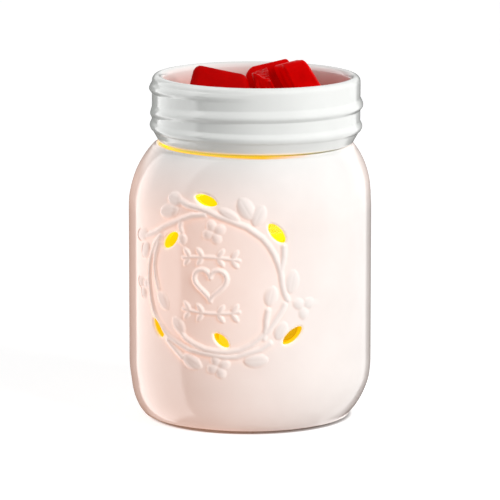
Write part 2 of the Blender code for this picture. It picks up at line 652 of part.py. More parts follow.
def screw(name, head_top, end, place):
    """A pan-head screw with its head below and its shank up."""
    turned(name, (
        (0, end), (SCREW_RADIUS, end), (SCREW_RADIUS, head_top), (SCREW_HEAD_RADIUS, head_top),
        (SCREW_HEAD_RADIUS, head_top - SCREW_HEAD_HEIGHT / 2),
        (SCREW_HEAD_RADIUS * 3 / 4, head_top - SCREW_HEAD_HEIGHT), (0, head_top - SCREW_HEAD_HEIGHT),
    ), STEEL, TINY_STEPS, place=place)


def make_base():
    """Feet, base plate, gasket, and the two screws with their nuts."""
    for number in range(FOOT_COUNT):
        angle = math.tau * (number + 0.5) / FOOT_COUNT
        disc(f"foot_{number + 1}", FOOT_RADIUS, 0, FOOT_THICKNESS, RUBBER_GREY,
             place=(FOOT_CIRCLE * math.cos(angle), FOOT_CIRCLE * math.sin(angle), 0))
    holes = [(SCREW_CIRCLE, 0), (-SCREW_CIRCLE, 0)]
    plate_top = PLATE_BOTTOM + PLATE_THICKNESS
    plate_disc = disc("base_plate", PLATE_RADIUS, PLATE_BOTTOM, plate_top, STEEL, PLATE_STEPS)
    gasket = ring("base_gasket", PLATE_RADIUS, PLATE_RADIUS - GASKET_WIDTH, GASKET_BOTTOM,
                  GASKET_BOTTOM + GASKET_THICKNESS, RUBBER_GREY, PLATE_STEPS)
    flange_top = FLANGE_BOTTOM + BRACKET_THICKNESS
    nut_middle = flange_top + CLEARANCE + NUT_HEIGHT / 2
    screw_top = flange_top + CLEARANCE + NUT_HEIGHT + SCREW_END
    head_top = PLATE_BOTTOM - CLEARANCE
    for number, (x, y) in enumerate(holes):
        hole = disc(f"base_hole_{number + 1}", SCREW_RADIUS + CLEARANCE, PLATE_BOTTOM - OVERRUN,
                    FLOOR_BOTTOM + OVERRUN, steps=TINY_STEPS, place=(x, y, 0))
        cut(plate_disc, hole)
        cut(gasket, hole)
        screw(f"base_screw_{number + 1}", head_top, screw_top, (x, y, 0))
        outline = circle(NUT_WIDTH / 2, 6)
        bore = circle(SCREW_RADIUS + CLEARANCE, TINY_STEPS)
        plate(f"base_nut_{number + 1}", [outline, bore], NUT_HEIGHT, STEEL, place=(x, y, nut_middle))


def make_bracket():
    """A bent strip: two flanges on the floor and a bridge that carries the lamp holder."""
    end = BRACKET_LENGTH / 2
    leg = HOLDER_RADIUS + BRIDGE_MARGIN
    thick = BRACKET_THICKNESS
    half = [(end, FLANGE_BOTTOM), (end, FLANGE_BOTTOM + thick), (leg + thick, FLANGE_BOTTOM + thick),
            (leg + thick, BRIDGE_BOTTOM + thick)]
    under = [(leg, BRIDGE_BOTTOM), (leg, FLANGE_BOTTOM)]
    outline = half + [(-x, z) for x, z in reversed(half)]
    outline += [(-x, z) for x, z in reversed(under)] + under
    bracket = plate("socket_bracket", [outline], BRACKET_WIDTH, STEEL, turn=(math.pi / 2, 0, 0))
    holder_screw = HOLDER_SCREW_SPACING / 2
    head_top = BRIDGE_BOTTOM - CLEARANCE
    for number, side in enumerate((1, -1)):
        hole = SCREW_RADIUS + CLEARANCE
        cut(bracket, disc(f"flange_hole_{number + 1}", hole, FLANGE_BOTTOM - OVERRUN,
                          FLANGE_BOTTOM + thick + OVERRUN, steps=TINY_STEPS, place=(side * SCREW_CIRCLE, 0, 0)))
        cut(bracket, disc(f"bridge_hole_{number + 1}", hole, BRIDGE_BOTTOM - OVERRUN,
                          BRIDGE_BOTTOM + thick + OVERRUN, steps=TINY_STEPS, place=(side * holder_screw, 0, 0)))
        screw_top = HOLDER_BOTTOM + HOLDER_SCREW_DEPTH
        screw(f"holder_screw_{number + 1}", head_top, screw_top, (side * holder_screw, 0, 0))


def arc_slot(half_width, start, stop):
    """Outline of a slot bent round the bulb's axis, with round ends."""
    middle = PIN_SPACING / 2
    outline = circle(middle + half_width, 6, start, stop - start)
    for end, turn in ((stop, 0), (start, math.pi)):
        centre = Vector((math.cos(end), math.sin(end))) * middle
        cap = circle(half_width, 8, end + turn, math.pi)[1:-1]
        outline += [(centre.x + x, centre.y + y) for x, y in cap]
        if not turn:
            outline += circle(middle - half_width, 6, stop, start - stop)
    return outline


def make_holder():
    """The ceramic lamp holder: two keyhole slots in the top, and a contact plate in the foot of each."""
    top, low, radius, edge = HOLDER_TOP, HOLDER_BOTTOM, HOLDER_RADIUS, HOLDER_EDGE
    holder = turned("lamp_holder", (
        (0, top), (radius - edge, top), (radius, top - edge), (radius, low + edge), (radius - edge, low),
        (0, low),
    ), BISQUE, LAMP_STEPS)
    wide = PIN_HEAD_RADIUS + CLEARANCE
    narrow = PIN_RADIUS + CLEARANCE
    cavity_middle = LIP_CAVITY_TOP - CAVITY_DEPTH / 2
    lip_middle = (HOLDER_TOP + OVERRUN + LIP_CAVITY_TOP - OVERRUN / 4) / 2
    lip_depth = HOLDER_TOP + OVERRUN - LIP_CAVITY_TOP + OVERRUN / 4
    for number, locked in enumerate((math.pi / 2, -math.pi / 2)):
        free = locked + TWIST
        cut(holder, plate(f"cavity_{number + 1}", [arc_slot(wide, locked, free)], CAVITY_DEPTH,
                          place=(0, 0, cavity_middle)))
        cut(holder, plate(f"lip_slot_{number + 1}", [arc_slot(narrow, locked, free)], lip_depth,
                          place=(0, 0, lip_middle)))
        entry = (PIN_SPACING / 2 * math.cos(free), PIN_SPACING / 2 * math.sin(free), 0)
        cut(holder, disc(f"entry_{number + 1}", wide, LIP_CAVITY_TOP - OVERRUN / 2, HOLDER_TOP + OVERRUN,
                         steps=TINY_STEPS, place=entry))
        plate(f"holder_contact_{number + 1}", [arc_slot(wide - CLEARANCE, locked, free)], CONTACT_THICKNESS,
              BRASS, place=(0, 0, LIP_CAVITY_TOP - CAVITY_DEPTH + CLEARANCE + CONTACT_THICKNESS / 2))
        side = 1 - 2 * number
        cut(holder, disc(f"holder_screw_hole_{number + 1}", SCREW_RADIUS + CLEARANCE, HOLDER_BOTTOM - OVERRUN,
                         HOLDER_BOTTOM + HOLDER_SCREW_DEPTH + CLEARANCE, steps=TINY_STEPS,
                         place=(side * HOLDER_SCREW_SPACING / 2, 0, 0)))
        cut(holder, disc(f"lead_hole_{number + 1}", LEAD_RADIUS + CLEARANCE, HOLDER_BOTTOM - OVERRUN,
                         HOLDER_BOTTOM + LEAD_DEPTH + CLEARANCE, steps=TINY_STEPS,
                         place=(side * LEAD_SPACING / 2, lead_place(), 0)))


def lead_place():
    """How far behind the holder's axis its leads come out."""
    return math.sqrt(LEAD_CIRCLE ** 2 - (LEAD_SPACING / 2) ** 2)


def make_bulb():
    """The reflector bulb on its twist axis: cap, pins, reflector, inner capsule and front lens."""
    axis = bpy.data.objects.new("bulb_axis", None)
    MODEL.objects.link(axis)
    cap_top = CAP_BOTTOM + CAP_HEIGHT
    socket_low = cap_top - CAP_SOCKET_DEPTH
    socket = REFLECTOR_NECK_RADIUS + CLEARANCE
    turned("bulb_cap", (
        (0, socket_low), (socket, socket_low), (socket, cap_top), (CAP_COLLAR_RADIUS, cap_top),
        (CAP_COLLAR_RADIUS, socket_low), (CAP_RADIUS, socket_low - (CAP_COLLAR_RADIUS - CAP_RADIUS)),
        (CAP_RADIUS, CAP_BOTTOM), (0, CAP_BOTTOM),
    ), BISQUE, LAMP_STEPS, parent=axis)
    head_top = LIP_CAVITY_TOP - CLEARANCE
    for number, side in enumerate((1, -1)):
        turned(f"bulb_pin_{number + 1}", (
            (0, CAP_BOTTOM - CLEARANCE), (PIN_RADIUS, CAP_BOTTOM - CLEARANCE), (PIN_RADIUS, head_top),
            (PIN_HEAD_RADIUS, head_top), (PIN_HEAD_RADIUS, head_top - PIN_HEAD_HEIGHT),
            (0, head_top - PIN_HEAD_HEIGHT),
        ), NICKEL, TINY_STEPS, parent=axis, place=(0, side * PIN_SPACING / 2, 0))
    low = REFLECTOR_BOTTOM
    top = low + REFLECTOR_HEIGHT
    neck_top = low + CAP_SOCKET_DEPTH + CLEARANCE
    lip_low = top - REFLECTOR_LIP
    wall = REFLECTOR_WALL
    floor = neck_top + wall
    outer = [(REFLECTOR_RADIUS, top), (REFLECTOR_RADIUS, lip_low)]
    inner = []
    for step in range(4, 0, -1):
        rise = (step / 5) ** 2
        radius = REFLECTOR_NECK_RADIUS + (REFLECTOR_RADIUS - REFLECTOR_NECK_RADIUS) * step / 5
        outer.append((radius, neck_top + (lip_low - neck_top) * rise))
        inner.append((radius - wall, floor + (lip_low - floor) * rise + wall / 2 * (1 - rise)))
    neck = REFLECTOR_NECK_RADIUS
    profile = [(0, floor), (neck - wall, floor), *reversed(inner), (REFLECTOR_RADIUS - wall, lip_low),
               (REFLECTOR_RADIUS - wall, top), *outer, (neck, neck_top), (neck, low), (0, low)]
    turned("bulb_reflector", profile, MIRROR_GLASS, LAMP_STEPS, parent=axis)
    lens_low = lip_low + CLEARANCE
    disc("bulb_lens", REFLECTOR_RADIUS - wall - CLEARANCE, lens_low, lens_low + LENS_THICKNESS, GLASS,
         LAMP_STEPS, parent=axis)
    seat = floor + CLEARANCE
    tip = seat + CAPSULE_HEIGHT
    turned("bulb_capsule", (
        (0, tip), (CAPSULE_RADIUS / 2, tip - CAPSULE_RADIUS / 4), (CAPSULE_RADIUS, tip - CAPSULE_RADIUS),
        (CAPSULE_RADIUS, seat), (0, seat),
    ), GLASS, SMALL_STEPS, parent=axis)


def make_wiring():
    """The gland in the rear wall, the terminal block, and a lead from it to each holder contact."""
    wall_in = math.sqrt((BODY_RADIUS - JAR_WALL) ** 2 - GLAND_FLANGE_RADIUS ** 2) - CLEARANCE
    wall_out = BODY_RADIUS + CLEARANCE
    edge = GLAND_FLANGE / 2
    rim = GLAND_FLANGE_RADIUS
    turned("cord_gland", (
        (GLAND_BORE_RADIUS, wall_out + GLAND_FLANGE), (rim - edge, wall_out + GLAND_FLANGE),
        (rim, wall_out + edge), (rim, wall_out), (GLAND_NECK_RADIUS, wall_out), (GLAND_NECK_RADIUS, wall_in),
        (rim, wall_in), (rim, wall_in - edge), (rim - edge, wall_in - GLAND_FLANGE),
        (GLAND_BORE_RADIUS, wall_in - GLAND_FLANGE),
    ), RUBBER_WHITE, place=(0, 0, GLAND_HEIGHT), turn=(-math.pi / 2, 0, 0))
    low = FLOOR_TOP + CLEARANCE
    middle = low + TERMINAL_HEIGHT / 2
    block = box("terminal_block", (TERMINAL_WIDTH, TERMINAL_DEPTH, TERMINAL_HEIGHT), PLASTIC_WHITE,
                place=(0, TERMINAL_PLACE, middle))
    soften(block, TERMINAL_EDGE)
    front = TERMINAL_PLACE - TERMINAL_DEPTH / 2
    socket_depth = TERMINAL_DEPTH / 4
    bend = (front - lead_place()) / 3
    for number, (name, finish) in enumerate((("lead_live", SLEEVE_BROWN), ("lead_neutral", SLEEVE_BLUE))):
        x = (1 - 2 * number) * LEAD_SPACING / 2
        cut(block, disc(f"terminal_hole_{number + 1}", LEAD_RADIUS + CLEARANCE, front - OVERRUN,
                        front + socket_depth + CLEARANCE, steps=TINY_STEPS, place=(x, 0, middle),
                        turn=(-math.pi / 2, 0, 0)))
        cut(block, disc(f"clamp_screw_well_{number + 1}", LEAD_RADIUS * 2, low + TERMINAL_HEIGHT * 3 / 4,
                        low + TERMINAL_HEIGHT + OVERRUN, steps=TINY_STEPS, place=(x, TERMINAL_PLACE, 0)))
        top = HOLDER_BOTTOM + LEAD_DEPTH
        back = lead_place()
        drop = HOLDER_BOTTOM - LEAD_RADIUS
        places = [Vector((x, back, top)), Vector((x, back, drop)),
                  Vector((x, back + bend / 3, (drop + middle) / 2)), Vector((x, back + bend, middle)),
                  Vector((x, front - LEAD_RADIUS, middle)), Vector((x, front + socket_depth, middle))]
        points = [(*point, 1) for point in smooth_path(places)]
        solid_curve(name, [points], finish, tube=LEAD_RADIUS, sides=2)


def make_thread(parent):
    """The thread's ridge: its section swept round the dish, in step with the dish's own faces."""
    azimuths, climbs, shares = zip(*smooth_path([Vector(place) for place in THREAD_SHARES]))
    spacing = 360 / ROUND_STEPS
    path = []
    for step in range(math.ceil(azimuths[0] / spacing), math.floor(azimuths[-1] / spacing) + 1):
        azimuth = step * spacing
        level = THREAD_START_HEIGHT + THREAD_CLIMB * float(np.interp(azimuth, azimuths, climbs))
        share = float(np.interp(azimuth, azimuths, shares))
        angle = math.radians(azimuth)
        path.append((DISH_RADIUS * math.sin(angle), -DISH_RADIUS * math.cos(angle), level, share))
    section = [(out * THREAD_RISE, up * THREAD_WIDTH) for out, up in THREAD_SECTION_SHARES]
    return solid_curve("thread", [path], section=section, parent=parent)


def make_dish():
    """The dish, shifted and leaning a little on the jar's mouth, with the heap of wax melts in it."""
    axis = bpy.data.objects.new("dish_axis", None)
    MODEL.objects.link(axis)
    axis.location = DISH_AXIS + Vector((0, 0, DISH_SEAT))
    lean_axis = Vector((math.cos(DISH_LEAN_AZIMUTH), math.sin(DISH_LEAN_AZIMUTH), 0))
    axis.rotation_euler = Matrix.Rotation(DISH_LEAN, 3, lean_axis).to_euler()
    inner = DISH_RADIUS - DISH_WALL
    lip_low = DISH_HEIGHT - LIP_HEIGHT
    profile = [(0, DISH_FLOOR)]
    for step in range(5):
        angle = math.pi / 2 * step / 4
        profile.append((inner - BOWL_CORNER * (1 - math.sin(angle)),
                        DISH_FLOOR + BOWL_CORNER * (1 - math.cos(angle))))
    for step in range(6):
        angle = math.pi * (1 - step / 5)
        radius = DISH_RADIUS - DISH_WALL / 2 + DISH_WALL / 2 * math.cos(angle)
        profile.append((radius, lip_low + LIP_HEIGHT * math.sin(angle)))
    for step in range(5):
        angle = math.pi * step / 4
        height = BEAD_HEIGHT + BEAD_WIDTH / 2 * math.cos(angle)
        profile.append((DISH_RADIUS + BEAD_RISE * math.sin(angle), height))
    play = (DISH_AXIS - sway(JAR_HEIGHT)).length + LOCATING_RING_DEPTH * math.sin(DISH_LEAN)
    ring_radius = MOUTH_RADIUS - play - CLEARANCE
    ring_inner = ring_radius - LOCATING_RING_WALL
    foot_edge = DISH_FOOT_RADIUS - DISH_FOOT_EDGE
    ring_low = -LOCATING_RING_DEPTH
    profile += [(DISH_FOOT_RADIUS, DISH_FOOT_EDGE), (foot_edge, 0), (ring_radius, 0), (ring_radius, ring_low),
                (ring_inner, ring_low), (ring_inner, 0), (0, 0)]
    dish = turned("fragrance_dish", profile, GLAZE_WHITE, ROUND_STEPS, parent=axis)
    join_or_cut(dish, "UNION", make_thread(axis))
    heap = bpy.data.objects.new("heap_frame", None)
    MODEL.objects.link(heap)
    heap.parent = axis
    heap.location = (0, 0, DISH_FLOOR + CLEARANCE)
    heap.rotation_euler = (0, 0, HEAP_TURN)
    for name, shares in MELT_CORNER_SHARES.items():
        shape = bmesh.new()
        bmesh.ops.create_cube(shape, size=1)
        for corner in shape.verts:
            around = ((0, 3), (1, 2))[corner.co.x > 0][corner.co.y > 0]
            corner.co = Vector(shares[around + 4 * (corner.co.z > 0)]) * MELT_SIZE
        melt = add(name, mesh_from(name, shape), WAX_RED, parent=heap)
        soften(melt, MELT_EDGE)


def smooth_round_pieces():
    """Shade the turned pieces smooth between their sharp edges."""
    for item in MODEL.objects:
        if item.type == "MESH":
            item.data.shade_smooth()
            item.data.set_sharp_from_angle(angle=SMOOTH_ANGLE)


def main():
    """Build every piece, from the table up."""
    start_empty()
    make_jar()
    make_base()
    make_bracket()
    make_holder()
    make_bulb()
    make_wiring()
    make_dish()
    smooth_round_pieces()


main()
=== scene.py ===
import math

import bmesh
import bpy
import numpy as np
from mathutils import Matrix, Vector


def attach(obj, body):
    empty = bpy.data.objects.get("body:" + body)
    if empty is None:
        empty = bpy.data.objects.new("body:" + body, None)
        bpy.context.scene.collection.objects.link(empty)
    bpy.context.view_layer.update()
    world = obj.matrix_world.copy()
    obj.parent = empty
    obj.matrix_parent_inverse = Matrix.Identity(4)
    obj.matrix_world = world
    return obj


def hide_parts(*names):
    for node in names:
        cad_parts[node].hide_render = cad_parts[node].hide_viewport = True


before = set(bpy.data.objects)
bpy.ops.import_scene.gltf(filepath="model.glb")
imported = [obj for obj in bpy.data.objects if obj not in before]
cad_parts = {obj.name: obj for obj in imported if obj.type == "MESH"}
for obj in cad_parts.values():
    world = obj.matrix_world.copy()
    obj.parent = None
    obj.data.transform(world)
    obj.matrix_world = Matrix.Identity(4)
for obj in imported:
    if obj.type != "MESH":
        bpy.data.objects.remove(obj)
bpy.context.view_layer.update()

# The studio: the warmer stands on a white table in a white tent. A big soft lamp lights it from the front
# right and a weak one from behind on the left. The glaze mirrors a bright panel on the left, a greyer front
# that brightens to the right, and dim corners behind, which draw the thin dark lines at the jar's edges.
scene = bpy.context.scene
scene.view_settings.view_transform = "Standard"


def new_material(name):
    """A material with nodes: returns it, its node tree and its Principled BSDF."""
    material = bpy.data.materials.new(name)
    material.use_nodes = True
    return material, material.node_tree, material.node_tree.nodes["Principled BSDF"]


def grid_faces(index):
    """Quads over a grid of corner numbers: each cell joins its four neighbours."""
    return np.stack((index[:-1, :-1], index[1:, :-1], index[1:, 1:], index[:-1, 1:]), axis=-1).reshape(-1, 4)


def make_mesh(name, points, faces):
    """A smooth-shaded mesh from an array of points and an array of quads."""
    mesh = bpy.data.meshes.new(name)
    points, faces = points.reshape(-1, 3), faces.astype(np.int32)
    mesh.vertices.add(len(points))
    mesh.vertices.foreach_set("co", points.astype(np.float32).ravel())
    mesh.loops.add(faces.size)
    mesh.loops.foreach_set("vertex_index", faces.ravel())
    mesh.polygons.add(len(faces))
    mesh.polygons.foreach_set("loop_start", np.arange(0, faces.size, 4, dtype=np.int32))
    mesh.update(calc_edges=True)
    mesh.shade_smooth()
    return mesh


def place(name, mesh, *materials):
    """An object at the origin that shows the mesh in its materials."""
    item = bpy.data.objects.new(name, mesh)
    scene.collection.objects.link(item)
    for material in materials:
        mesh.materials.append(material)
    return item


TABLE_HALF = 3.0
TABLE_ROWS = 7
TABLE_TONE = 0.50
TABLE_LIFT = 0.74
FOOT_SHADE = (0.0440, 0.0464)
table_side = np.linspace(TABLE_HALF, -TABLE_HALF, TABLE_ROWS)
table_points = np.stack((*np.meshgrid(table_side, table_side), np.zeros((TABLE_ROWS, TABLE_ROWS))), axis=-1)
table_white, tree, shader = new_material("table_white")
shader.inputs["Base Color"].default_value = (TABLE_TONE, TABLE_TONE, TABLE_TONE, 1)
shader.inputs["Roughness"].default_value = 0.9
shader.inputs["Specular IOR Level"].default_value = 0.1
shader.inputs["Emission Color"].default_value = (1, 1, 1, 1)
lift = tree.nodes.new("ShaderNodeMath")
lift.operation = "MULTIPLY"
lift.inputs[1].default_value = TABLE_LIFT
tree.links.new(tree.nodes.new("ShaderNodeLightPath").outputs["Is Camera Ray"], lift.inputs[0])
# painted contact shadow: the camera-only white lift stops under the jar and fades in just round it, so the
# table's own shade shows there as a thin dark line round the foot
from_axis = tree.nodes.new("ShaderNodeVectorMath")
from_axis.operation = "LENGTH"
tree.links.new(tree.nodes.new("ShaderNodeTexCoord").outputs["Object"], from_axis.inputs[0])
outside_foot = tree.nodes.new("ShaderNodeMapRange")
outside_foot.inputs["From Min"].default_value = FOOT_SHADE[0]
outside_foot.inputs["From Max"].default_value = FOOT_SHADE[1]
tree.links.new(from_axis.outputs["Value"], outside_foot.inputs["Value"])
clear_of_foot = tree.nodes.new("ShaderNodeMath")
clear_of_foot.operation = "MULTIPLY"
tree.links.new(lift.outputs[0], clear_of_foot.inputs[0])
tree.links.new(outside_foot.outputs["Result"], clear_of_foot.inputs[1])
tree.links.new(clear_of_foot.outputs[0], shader.inputs["Emission Strength"])
table_index = np.arange(TABLE_ROWS ** 2).reshape(TABLE_ROWS, TABLE_ROWS)[:, ::-1]
table = place("table_top", make_mesh("table_top", table_points, grid_faces(table_index)), table_white)
table.visible_glossy = False

world = bpy.data.worlds.new("studio")
scene.world = world
world.use_nodes = True
tree = world.node_tree
tree.nodes.clear()
split = tree.nodes.new("ShaderNodeSeparateXYZ")
tree.links.new(tree.nodes.new("ShaderNodeTexCoord").outputs["Generated"], split.inputs[0])


def world_math(operation, *values):
    """One math node in the studio's tree; each input is a number or another node's output."""
    node = tree.nodes.new("ShaderNodeMath")
    node.operation = operation
    for socket, value in zip(node.inputs, values):
        if isinstance(value, (int, float)):
            socket.default_value = value
        else:
            tree.links.new(value, socket)
    return node.outputs[0]


def world_step(value, low, high):
    """A smooth step of the value: 0 below the low end, 1 above the high end."""
    node = tree.nodes.new("ShaderNodeMapRange")
    node.interpolation_type = "SMOOTHSTEP"
    node.inputs["From Min"].default_value = low
    node.inputs["From Max"].default_value = high
    tree.links.new(value, node.inputs["Value"])
    return node.outputs["Result"]


def world_panel(sides, ends, edge):
    """1 inside a panel given by its two bearings and its two heights in degrees, and 0 outside it: the
    product of two steps up and two steps down."""
    across = world_math("SUBTRACT", world_step(bearing, sides[0] - edge, sides[0] + edge),
                        world_step(bearing, sides[1] - edge, sides[1] + edge))
    up = world_math("SUBTRACT", world_step(elevation, ends[0] - edge, ends[0] + edge),
                    world_step(elevation, ends[1] - edge, ends[1] + edge))
    return world_math("MULTIPLY", across, up)


# bearings go round from the camera's side, 0 degrees, towards its right; elevations are above the horizon
CAMERA_BEARING = math.radians(18.72)
side_way = world_math("ADD", world_math("MULTIPLY", split.outputs["X"], math.cos(CAMERA_BEARING)),
                      world_math("MULTIPLY", split.outputs["Y"], math.sin(CAMERA_BEARING)))
near_way = world_math("SUBTRACT", world_math("MULTIPLY", split.outputs["X"], math.sin(CAMERA_BEARING)),
                      world_math("MULTIPLY", split.outputs["Y"], math.cos(CAMERA_BEARING)))
bearing = world_math("MULTIPLY", world_math("ARCTAN2", side_way, near_way), 180 / math.pi)
elevation = world_math("MULTIPLY", world_math("ARCSINE", split.outputs["Z"]), 180 / math.pi)
LEFT_SIDE, FRONT_SIDE, RIGHT_SIDE = (-140, -69), (-69, 76), (76, 146)
SIDE_ENDS, FRONT_ENDS = (-50, 91), (-50, 22)
LEFT_BRIGHT, FRONT_BRIGHT, RIGHT_BRIGHT = 3.0, 1.1, 1.5
CEILING_BRIGHT, FLOOR_BRIGHT, CORNER_BRIGHT = 1.15, 0.8, 0.10
TENT_LIGHT = 0.44
front_rise = world_math("MULTIPLY", world_step(bearing, -60, 90), FRONT_BRIGHT)
ceiling = world_math("MULTIPLY", world_step(elevation, 2, 12), CEILING_BRIGHT)
floor = world_math("MULTIPLY", world_step(elevation, -22, -36), FLOOR_BRIGHT)
mirrored = world_math("MULTIPLY", world_panel(FRONT_SIDE, FRONT_ENDS, 2), front_rise)
mirrored = world_math("MULTIPLY_ADD", world_panel(LEFT_SIDE, SIDE_ENDS, 4), LEFT_BRIGHT, mirrored)
mirrored = world_math("MULTIPLY_ADD", world_panel(RIGHT_SIDE, SIDE_ENDS, 4), RIGHT_BRIGHT, mirrored)
mirrored = world_math("MAXIMUM", world_math("MAXIMUM", mirrored, ceiling), floor)
mirrored = world_math("ADD", mirrored, CORNER_BRIGHT)
rays = tree.nodes.new("ShaderNodeLightPath")
lit_or_mirrored = tree.nodes.new("ShaderNodeMix")
tree.links.new(rays.outputs["Is Glossy Ray"], lit_or_mirrored.inputs[0])
lit_or_mirrored.inputs[2].default_value = TENT_LIGHT
tree.links.new(mirrored, lit_or_mirrored.inputs[3])
shown = tree.nodes.new("ShaderNodeMix")
tree.links.new(rays.outputs["Is Camera Ray"], shown.inputs[0])
tree.links.new(lit_or_mirrored.outputs[0], shown.inputs[2])
shown.inputs[3].default_value = 1.0
background = tree.nodes.new("ShaderNodeBackground")
tree.links.new(shown.outputs[0], background.inputs["Strength"])
tree.links.new(background.outputs[0], tree.nodes.new("ShaderNodeOutputWorld").inputs["Surface"])


def aim(item, target):
    """Turn an object so that its -Z points at the target."""
    item.rotation_euler = (target - item.location).to_track_quat("-Z", "Y").to_euler()


def soft_lamp(name, side, lift, distance, size, power):
    """A round soft lamp at a bearing and a height in degrees from the jar's middle, aimed at it."""
    data = bpy.data.lights.new(name, "AREA")
    data.energy, data.shape, data.size = power, "DISK", size
    lamp = bpy.data.objects.new(name, data)
    scene.collection.objects.link(lamp)
    around, up = CAMERA_BEARING + math.radians(side), math.radians(lift)
    middle = Vector((0, 0, 0.08))
    lamp.location = middle + distance * Vector((math.sin(around) * math.cos(up),
                                                -math.cos(around) * math.cos(up), math.sin(up)))
    lamp.visible_glossy = False
    aim(lamp, middle)


soft_lamp("key_lamp", side=48, lift=28, distance=2.2, size=0.9, power=36)
soft_lamp("left_fill_lamp", side=-110, lift=20, distance=2.2, size=1.2, power=10)

VIEW_RISE = math.radians(10.37)
VIEW_DISTANCE = 2.0768
VIEW_MIDDLE = 0.0744
camera_data = bpy.data.cameras.new("camera")
camera_data.sensor_width = 36
camera_data.lens = 334
camera = bpy.data.objects.new("camera", camera_data)
scene.collection.objects.link(camera)
view_target = Vector((0, 0, VIEW_MIDDLE))
camera.location = view_target + VIEW_DISTANCE * Vector((math.sin(CAMERA_BEARING) * math.cos(VIEW_RISE),
                                                        -math.cos(CAMERA_BEARING) * math.cos(VIEW_RISE),
                                                        math.sin(VIEW_RISE)))
aim(camera, view_target)
scene.camera = camera

# The base: a zinc-plated sheet steel plate on a rubber gasket closes the underside, held by two machine
# screws with hexagon nuts. Four grey rubber feet are pressed on under it.
ROUGHNESS_SPREAD = 0.06


def finish_nodes(name, nodes, low, high, roughness, grain, relief, metallic=0.0):
    """Give CAD nodes a worked finish: the colour wanders between two tones and the surface rises and falls
    with fractal noise over Object coordinates, and the roughness follows the same noise a little."""
    material, tree, shader = new_material(name)
    noise = tree.nodes.new("ShaderNodeTexNoise")
    noise.inputs["Scale"].default_value = grain
    noise.inputs["Detail"].default_value = 6
    tree.links.new(tree.nodes.new("ShaderNodeTexCoord").outputs["Object"], noise.inputs["Vector"])
    ramp = tree.nodes.new("ShaderNodeValToRGB")
    ramp.color_ramp.elements[0].position, ramp.color_ramp.elements[1].position = 0.3, 0.7
    ramp.color_ramp.elements[0].color, ramp.color_ramp.elements[1].color = (*low, 1), (*high, 1)
    tree.links.new(noise.outputs["Fac"], ramp.inputs["Fac"])
    tree.links.new(ramp.outputs["Color"], shader.inputs["Base Color"])
    spread = tree.nodes.new("ShaderNodeMapRange")
    spread.inputs["To Min"].default_value = roughness - ROUGHNESS_SPREAD
    spread.inputs["To Max"].default_value = roughness + ROUGHNESS_SPREAD
    tree.links.new(noise.outputs["Fac"], spread.inputs["Value"])
    tree.links.new(spread.outputs["Result"], shader.inputs["Roughness"])
    shader.inputs["Metallic"].default_value = metallic
    bump = tree.nodes.new("ShaderNodeBump")
    bump.inputs["Strength"].default_value = 0.5
    bump.inputs["Distance"].default_value = relief
    tree.links.new(noise.outputs["Fac"], bump.inputs["Height"])
    tree.links.new(bump.outputs["Normal"], shader.inputs["Normal"])
    for node in nodes:
        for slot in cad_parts[node].material_slots:
            slot.material = material
    return shader


finish_nodes("rubber_grey", ("foot_1", "foot_2", "foot_3", "foot_4", "base_gasket"),
             (0.22, 0.22, 0.22), (0.30, 0.30, 0.30), 0.8, 900, 0.0001)
finish_nodes("zinc_plate", ("base_plate", "socket_bracket"),
             (0.50, 0.50, 0.49), (0.68, 0.68, 0.66), 0.36, 420, 0.00004, 1.0)
finish_nodes("zinc_screw", ("base_screw_1", "base_screw_2", "base_nut_1", "base_nut_2", "holder_screw_1",
                            "holder_screw_2"),
             (0.46, 0.46, 0.44), (0.66, 0.66, 0.62), 0.3, 1500, 0.00003, 1.0)

# The lamp holder: an unglazed ceramic block with two brass contact plates, screwed to a bent steel bracket
# on the base plate. Two sleeved leads run from it to a terminal block, next to the white rubber gland in
# the rear wall.
steatite_painted_glow = finish_nodes("unglazed_ceramic", ("lamp_holder", "bulb_cap"),
                        (0.72, 0.70, 0.64), (0.84, 0.82, 0.76), 0.65, 1100, 0.00012)
# painted glow: warm orange emission on the holder and the bulb's cap stands in for the bulb's light falling
# on them
steatite_painted_glow.inputs["Emission Color"].default_value = (1.0, 0.45, 0.02, 1)
steatite_painted_glow.inputs["Emission Strength"].default_value = 0.6
finish_nodes("contact_brass", ("holder_contact_1", "holder_contact_2"),
             (0.62, 0.43, 0.18), (0.76, 0.56, 0.27), 0.3, 800, 0.00003, 1.0)
finish_nodes("gland_rubber", ("cord_gland",), (0.70, 0.69, 0.67), (0.80, 0.79, 0.77), 0.7, 900, 0.0001)
finish_nodes("terminal_plastic", ("terminal_block",), (0.76, 0.76, 0.74), (0.84, 0.84, 0.82), 0.45, 700,
             0.00004)
finish_nodes("live_sleeve", ("lead_live",), (0.16, 0.07, 0.03), (0.24, 0.11, 0.05), 0.55, 1600, 0.0001)
finish_nodes("neutral_sleeve", ("lead_neutral",), (0.04, 0.13, 0.38), (0.06, 0.19, 0.52), 0.55, 1600, 0.0001)

# The bulb: a mirror-coated glass reflector with a clear front lens and a small lit capsule inside, on an
# unglazed cap with two nickel pins that twist and lock into the holder.
finish_nodes("pin_nickel", ("bulb_pin_1", "bulb_pin_2"), (0.62, 0.60, 0.56), (0.74, 0.72, 0.68), 0.24, 900,
             0.00002, 1.0)
mirror = finish_nodes("reflector_mirror_painted_glow", ("bulb_reflector",), (0.80, 0.81, 0.84), (0.90, 0.91, 0.94), 0.30,
                      260, 0.00005, 0.4)
lens = finish_nodes("lens_glass", ("bulb_lens",), (0.92, 0.93, 0.94), (0.98, 0.98, 0.98), 0.10, 500, 0.0001)
lens.inputs["Transmission Weight"].default_value = 1.0
lens.inputs["IOR"].default_value = 1.5
